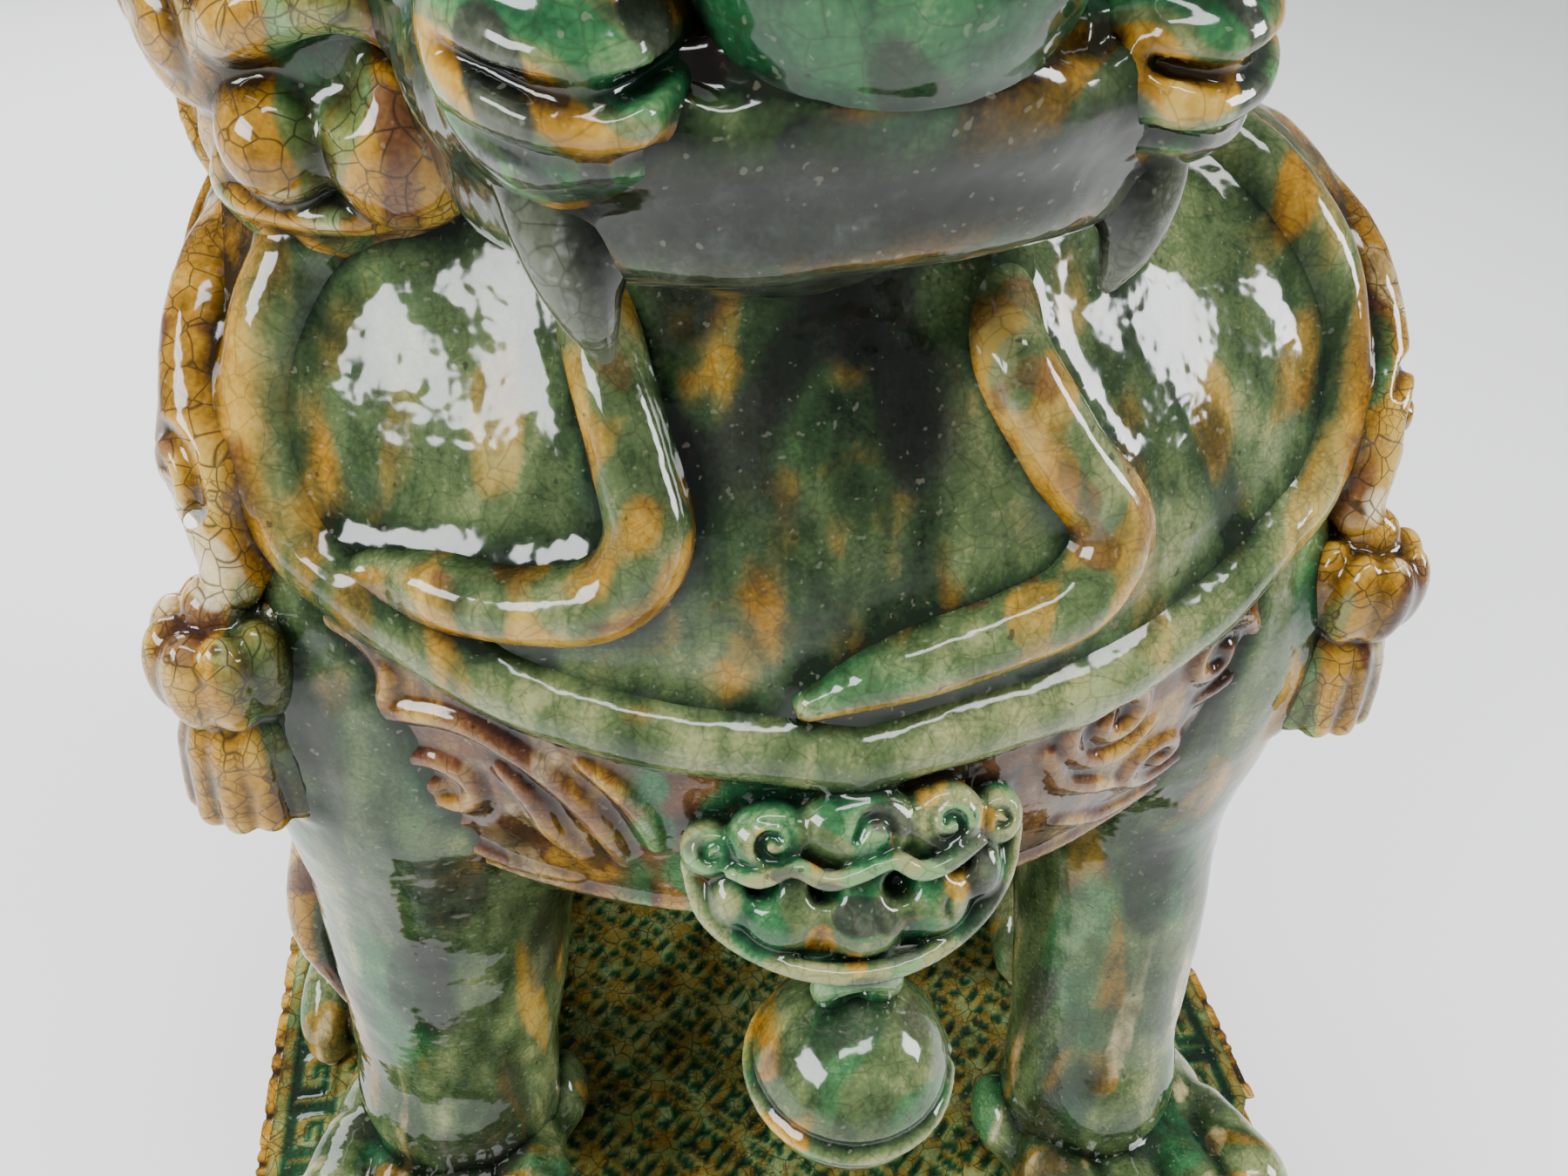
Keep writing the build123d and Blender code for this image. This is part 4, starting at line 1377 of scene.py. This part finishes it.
for name in TAIL:
    others = [TAIL[n] for n in TAIL if n != name]
    sculpt(f"tail_{name}_lock", TAIL[name], AMBER, 1.3, others + [TAIL_ROOT, TRUNK], 3, locks_tint)
sculpt("tail_root", TAIL_ROOT, AMBER, 1.4, [TRUNK, TAIL], 5, locks_tint)
sculpt("elbow_locks", ELBOWS, AMBER, 1.1, [LEGS, TRUNK], 3, locks_tint)
sculpt("haunch_locks", HAUNCH_LOCKS, AMBER, 1.1, [HAUNCHES], 3, locks_tint)
sculpt("fore_claws", FORE_CLAWS, CREAM, 0.8, [PAWS], 1.5, claw_tint, 0.1)
sculpt("hind_claws", HIND_CLAWS, CREAM, 0.9, [HIND_PAWS], 1.5, claw_tint, 0.1)
sculpt("collar_roll", ROLL, GREEN, 1.4, [TRUNK, MEDALLION, BANDS, BEARDS, KNOTS, MANES], 4, body_tint)
sculpt("collar_medallion", MEDALLION, GREEN, 0.7, [TRUNK, ROLL, LOOP, BANDS], 2.5, medallion_tint, 0.15)
sculpt("harness_bell", BELL, GREEN, 0.8, [LOOP], 2, bell_tint, 0.15)
sculpt("bell_loop", LOOP, GREEN, 0.7, [BELL, MEDALLION], 2, nose_tint, 0.1)
sculpt("head_shell", SKULL, GREEN, 1.5,
       [EYES, NOSE, CROWN, NAPE, TRUNK, JAW, LOBES, BROWS, EARS, CHEEKS, MANES], 4, skull_tint)
sculpt("nose", NOSE, GREEN, 0.9, [SKULL, LOBES], 3, nose_tint, 0.2)
# The lower jaw is given the near-black glaze as painted shade: it sits in the shade under the upper lip
sculpt("lower_jaw", JAW, DARK, 1.1, [SKULL, TRUNK], 4)
sculpt("tongue", tongue_form(), BROWN, 1.0, [JAW], 2, None, 0.15)
sculpt("upper_teeth", teeth_form(-86, -29, 8), CREAM, 0.8, [SKULL], 1.5, tooth_tint, 0.1)
sculpt("lower_teeth", teeth_form(-76, -35, 6.5), CREAM, 0.8, [JAW], 1.5, tooth_tint, 0.1)
sculpt("upper_fangs", fangs_form(), CREAM, 0.8, [SKULL], 2, fang_tint, 0.15)
sculpt("eyeballs", EYES, "eye_glaze", 0.9, [SKULL, BROWS], 1.5, eye_tint, 0.05, relax=4)
sculpt("crown_boss", CROWN, AMBER, 1.1, [SKULL, MANES, BROWS], 3, locks_tint)
sculpt("nape_mane", NAPE, AMBER, 1.5, [SKULL, TRUNK, MANES], 3, locks_tint)


# ---- plinth

def line_gap(u, v, path):
    """Distance of flat points from a broken line."""
    best = np.full(u.shape, 1e3)
    for (a, b), (c, d) in zip(path, path[1:]):
        square = max((c - a) ** 2 + (d - b) ** 2, 1e-9)
        t = np.clip(((u - a) * (c - a) + (v - b) * (d - b)) / square, 0, 1)
        best = np.minimum(best, np.hypot(u - a - t * (c - a), v - b - t * (d - b)))
    return best


# One turn of the key fret, in mm along and in from the cloth's edge
FRET = [(0, 1), (0, 13), (17, 13), (17, 4), (7, 4), (7, 8.5), (12, 8.5)]


def ridge(gap, half):
    return ease(half + 0.9, half - 0.5, gap)


def coin_relief(u, v, pitch):
    """Interlocked coins: rings on a staggered lattice, each with a square eye."""
    height = np.zeros(u.shape)
    for shift in (0, 0.5):
        cu = (u / pitch + shift) % 1 - 0.5
        cv = (v / pitch + shift) % 1 - 0.5
        r = np.hypot(cu, cv) * pitch
        height = np.maximum(height, ridge(np.abs(r - 0.47 * pitch), 1.5))
        height = np.maximum(height, ridge(np.maximum(np.abs(cu), np.abs(cv)) * pitch, 3.0))
    return height


def cloth_relief(along, inward, u, v, pitch=27.0):
    """Height, 0 to 1, of a key fret in a bordered strip at the edge, with coins inside it."""
    border = np.maximum(ridge(np.abs(inward - 2.2), 2.0), ridge(np.abs(inward - 24), 1.4))
    fret = ridge(line_gap(along % 24, inward - 6.5, FRET), 1.1)
    strip = ((inward > 5) & (inward < 22)).astype(float)
    inside = ease(24, 26, inward)
    return np.maximum(np.maximum(border, fret * strip), coin_relief(u, v, pitch) * inside)


def panel(name, rows, half_width, place, relief, step, thick, green=0.0):
    """A closed sheet: a raised front over rows of points, a flat back, and an edge between."""
    across = int(max(half_width(v) for v in rows) * 2 / (step * COARSE)) + 1
    u = np.linspace(-1, 1, across)
    wide = np.array([half_width(v) for v in rows])
    x = wide[:, None] * u[None, :]
    v = np.repeat(np.array(rows)[:, None], across, 1)
    high = relief(x, v)
    flat_points = np.column_stack([x.ravel(), v.ravel(), 0 * x.ravel()])
    front = place(x, v, high * 1.5 + 0.25 * ripple(flat_points, 30, 8).reshape(x.shape))
    back = place(x, v, np.full(x.shape, -thick))
    m, n = x.shape
    points = np.vstack([front.reshape(-1, 3), back.reshape(-1, 3)])
    index = np.arange(m * n).reshape(m, n)
    face = np.column_stack([index[:-1, :-1].ravel(), index[:-1, 1:].ravel(), index[1:, 1:].ravel(),
                            index[1:, :-1].ravel()])
    rim = np.concatenate([index[0, :], index[1:, -1], index[-1, -2::-1], index[-2:0:-1, 0]])
    after = np.roll(rim, -1)
    edge = np.column_stack([rim, rim + m * n, after + m * n, after])
    quads = np.vstack([face, face[:, ::-1] + m * n, edge])
    flat = high.ravel()
    noise = ripple(points[:m * n], 34, 81)
    soft = 0.5 - 0.16 * (flat - 0.55)
    low = ease(0.6, 0.1, flat)
    one = {"pool": soft, "crease": soft, "amber": 0 * flat, "silver": 0 * flat,
           "cream": 0.25 * flat * (noise > 0.4),
           # With green set (the cloth top), the low relief is darkened as painted shade of the lion over it;
           # the emerald is the top's own green glaze
           "brown": 0.65 * low * (1 - green) * ease(-0.8, 0.3, noise), "dark": green * 0.45 * low,
           "emerald": green * np.maximum(0.95 * low, 0.6)}
    tints = {key: np.concatenate([value, value]) for key, value in one.items()}
    build(name, points, quads, AMBER, tints, [name])


# Half width and half depth of the plinth's top, and where its cloth's corners start to slant
TOP_X, TOP_Y, CORNER = 181, 215, 118
CORNER_X, CORNER_Y = TOP_X - CORNER, TOP_Y - CORNER
CLOTH_STEP, FLAP_STEP = 1.9, 1.3


def top_half(v):
    return TOP_X if abs(v) <= CORNER else TOP_X - (abs(v) - CORNER) * CORNER_X / CORNER_Y


def top_relief(x, v):
    from_side, from_end = TOP_X - np.abs(x), TOP_Y - np.abs(v)
    edge = np.minimum(from_end, from_side)
    slant = (from_end + from_side * CORNER_Y / CORNER_X - CORNER_Y) * 0.545
    along = np.where(edge < slant, np.where(from_end < from_side, x, v), x - v)
    return cloth_relief(along, np.minimum(edge, slant), x, v)


def top_place(x, v, h):
    return np.stack([x, v, 151.2 + 0.55 * h], -1)


# The cloth top is glazed green and darkened in its low relief: that darkening is painted shade of the lion
# standing over it
panel("cloth_top", np.linspace(-TOP_Y, TOP_Y, int(2 * TOP_Y / (CLOTH_STEP * COARSE))), top_half, top_place,
      top_relief, CLOTH_STEP, 1.2, 0.9)

# Angle, distance from the centre and half width of each wall
WALLS = {"front": (0, TOP_Y, TOP_X), "right": (90, TOP_X, TOP_Y), "back": (180, TOP_Y, TOP_X),
         "left": (270, TOP_X, TOP_Y)}


def wall_tint(points, normal):
    foot = ease(14, 5, points[:, 2])
    return {"emerald": 0.7 * ease(-0.3, 0.6, streaks(points, 40, 70, 91)),
            "amber": 0.7 * ease(0.35, 0.8, streaks(points, 24, 90, 92)),
            "cream": 0.4 * ease(0.5, 0.9, ripple(points, 30, 93)),
            "brown": 0.8 * foot * ease(-0.4, 0.6, ripple(points, 26, 94))}


def flap_half(v):
    return max(CORNER + 0.5 - max(v, 0), 1.2)


def flap_relief(x, v):
    side_gap = (CORNER - v - np.abs(x)) * sqrt(0.5)
    return cloth_relief(np.abs(x) * sqrt(2), side_gap, x, v)


for side, (angle, reach, half) in WALLS.items():
    spin = turn(2, angle)

    def stand(x, out, z):
        return spin @ vec(x, -out, z)

    wall = Form().add(block(stand(0, reach - 10, 69), (half + 2, 5, 69), 1.5, spin))
    wall.add(block(stand(0, reach - 1, 8), (half + 14, 15, 8), 3, spin))
    wall.limb([stand(-half - 20, reach - 2, 15), stand(0, reach - 2, 15), stand(half + 20, reach - 2, 15)],
              [9, 9, 9], 6, 2)
    for s in (-1, 1):
        for strand, r in (
            (scroll(s * (half - 34), 92, 20, -s, 0.5 * pi), 3.0),
            (scroll(s * (half - 62), 56, 15, s, 1.4 * pi), 2.8),
            (scroll(s * (half - 100), 52, 12, -s, 0.2), 2.6),
            ([(s * (half - x), z) for x, z in ((8, 122), (24, 118), (48, 122), (66, 104))], 2.8),
            ([(s * (half - x), z) for x, z in ((10, 40), (14, 60), (30, 68), (44, 72))], 2.8),
            ([(s * (half - x), z) for x, z in ((118, 40), (128, 52), (142, 46))], 2.4),
        ):
            run = [stand(x, reach - 5, z) for x, z in strand]
            wall.limb(run, tapered(r, len(run), 0.6, 0.5), 1.6, 3)
        wall.keep(halfspace(stand(s * half, reach, 0), spin @ vec(s, 1, 0)), 0)
    wall.cut(block((0, 0, -30), (300, 300, 30)))
    wall.cut(block((0, 0, 158), (300, 300, 20)))

    ends = stand(-half - 14, reach - 16, 0), stand(half + 14, reach + 14, 138)
    sculpt(f"plinth_{side}_wall", wall, GREEN, 2.6, tint=wall_tint, wobble=0.3,
           limits=(np.min(ends, 0), np.max(ends, 0)))

    def flap_place(x, v, h):
        flat = np.stack([x, -(reach + 2.4 + 0.7 * h), 150.5 - v], -1)
        return flat @ spin.T

    panel(f"cloth_{side}_flap", np.linspace(-1, 116, int(117 / (FLAP_STEP * COARSE))), flap_half, flap_place,
          flap_relief, FLAP_STEP, 9.0)


def slab_tint(points, normal):
    rim = np.maximum(ease(172, 177, np.abs(points[:, 0])), ease(206, 211, np.abs(points[:, 1])))
    return {"amber": rim * (0.75 + 0.4 * ripple(points, 30, 97)),
            "cream": 0.4 * rim * (ripple(points, 22, 98) > 0.2), "emerald": 0.7 * (1 - rim)}


slab = Form().add(block((0, 0, 144), (TOP_X, TOP_Y, 6.2), 3.5))
sculpt("plinth_top_slab", slab, GREEN, 3.0, tint=slab_tint, wobble=0.3, relax=1)


# ---- floor, light, camera

def plain(name, tone, roughness):
    g = Graph(name)
    place = g.node("TexCoord").outputs["Object"]
    colour = g.mix(g.noise(place, 1.2, 3), tone, tuple(c * 0.97 for c in tone))
    skin = g.node("BsdfPrincipled", {"Base Color": colour, "Roughness": roughness}).outputs[0]
    g.node("OutputMaterial", {"Surface": skin})
    return g.material


floor_mesh = bpy.data.meshes.new("floor")
floor_mesh.from_pydata([(-9, -9, 0), (9, -9, 0), (9, 9, 0), (-9, 9, 0)], [], [(0, 1, 2, 3)])
floor_mesh.materials.append(plain("floor_paper", (0.80, 0.81, 0.79), 0.7))
floor = bpy.data.objects.new("floor", floor_mesh)
bpy.context.scene.collection.objects.link(floor)

world = bpy.data.worlds.new("studio")
world.use_nodes = True
background = world.node_tree.nodes["Background"].inputs
background["Color"].default_value = (0.86, 0.90, 0.95, 1)
background["Strength"].default_value = 0.32
bpy.context.scene.world = world


def softbox(name, place, aim, size, power, tone=(1, 1, 1)):
    """A rectangular light that faces a point."""
    lamp = bpy.data.lights.new(name, "AREA")
    lamp.shape = "RECTANGLE"
    lamp.size, lamp.size_y = size
    lamp.energy = power
    lamp.color = tone
    away = vec(*place) - vec(*aim)
    m = axes(away)
    made = bpy.data.objects.new(name, lamp)
    made.matrix_world = Matrix([[*m[i], place[i]] for i in range(3)] + [[0, 0, 0, 1]])
    bpy.context.scene.collection.objects.link(made)


softbox("window_left", (-1.45, -0.75, 1.2), (0, -0.1, 0.42), (0.95, 0.6), 50, (0.97, 0.99, 1))
softbox("window_right", (1.5, -0.42, 0.95), (0, -0.1, 0.42), (0.4, 0.7), 30, (0.97, 0.99, 1))
softbox("strip_above", (0.05, -0.72, 2.05), (0, -0.15, 0.42), (1.3, 0.26), 26, (0.98, 0.99, 1))
softbox("window_back", (-0.6, 1.9, 1.3), (0, 0.1, 0.3), (1.4, 1.0), 46, (0.98, 0.99, 1))
sky = bpy.data.lights.new("sky", "SUN")
sky.energy, sky.angle = 1.9, radians(70)
skylight = bpy.data.objects.new("sky", sky)
skylight.rotation_euler = (radians(-24), radians(8), 0)
skylight.visible_glossy = False
bpy.context.scene.collection.objects.link(skylight)


def aim(azimuth, pitch, roll):
    """Camera axes: right, up and back, looking along +Y turned by azimuth, pitched down."""
    a, p, o = (radians(v) for v in (azimuth, pitch, roll))
    right = vec(cos(a), -sin(a), 0)
    ahead = vec(sin(a) * cos(p), cos(a) * cos(p), -sin(p))
    up = np.cross(right, ahead)
    return np.column_stack([cos(o) * right + sin(o) * up,
                            -sin(o) * right + cos(o) * up, -ahead])


lens = bpy.data.cameras.new("photo_camera")
lens.lens, lens.sensor_width = 30, 36
lens.clip_start, lens.clip_end = 0.01, 50
lens.dof.use_dof = False
camera = bpy.data.objects.new("photo_camera", lens)
m = aim(11.5, 38.8, 3.5)
spot = vec(-59, -350, 609) * MM
camera.matrix_world = Matrix([[*m[i], spot[i]] for i in range(3)] + [[0, 0, 0, 1]])
bpy.context.scene.collection.objects.link(camera)
bpy.context.scene.camera = camera
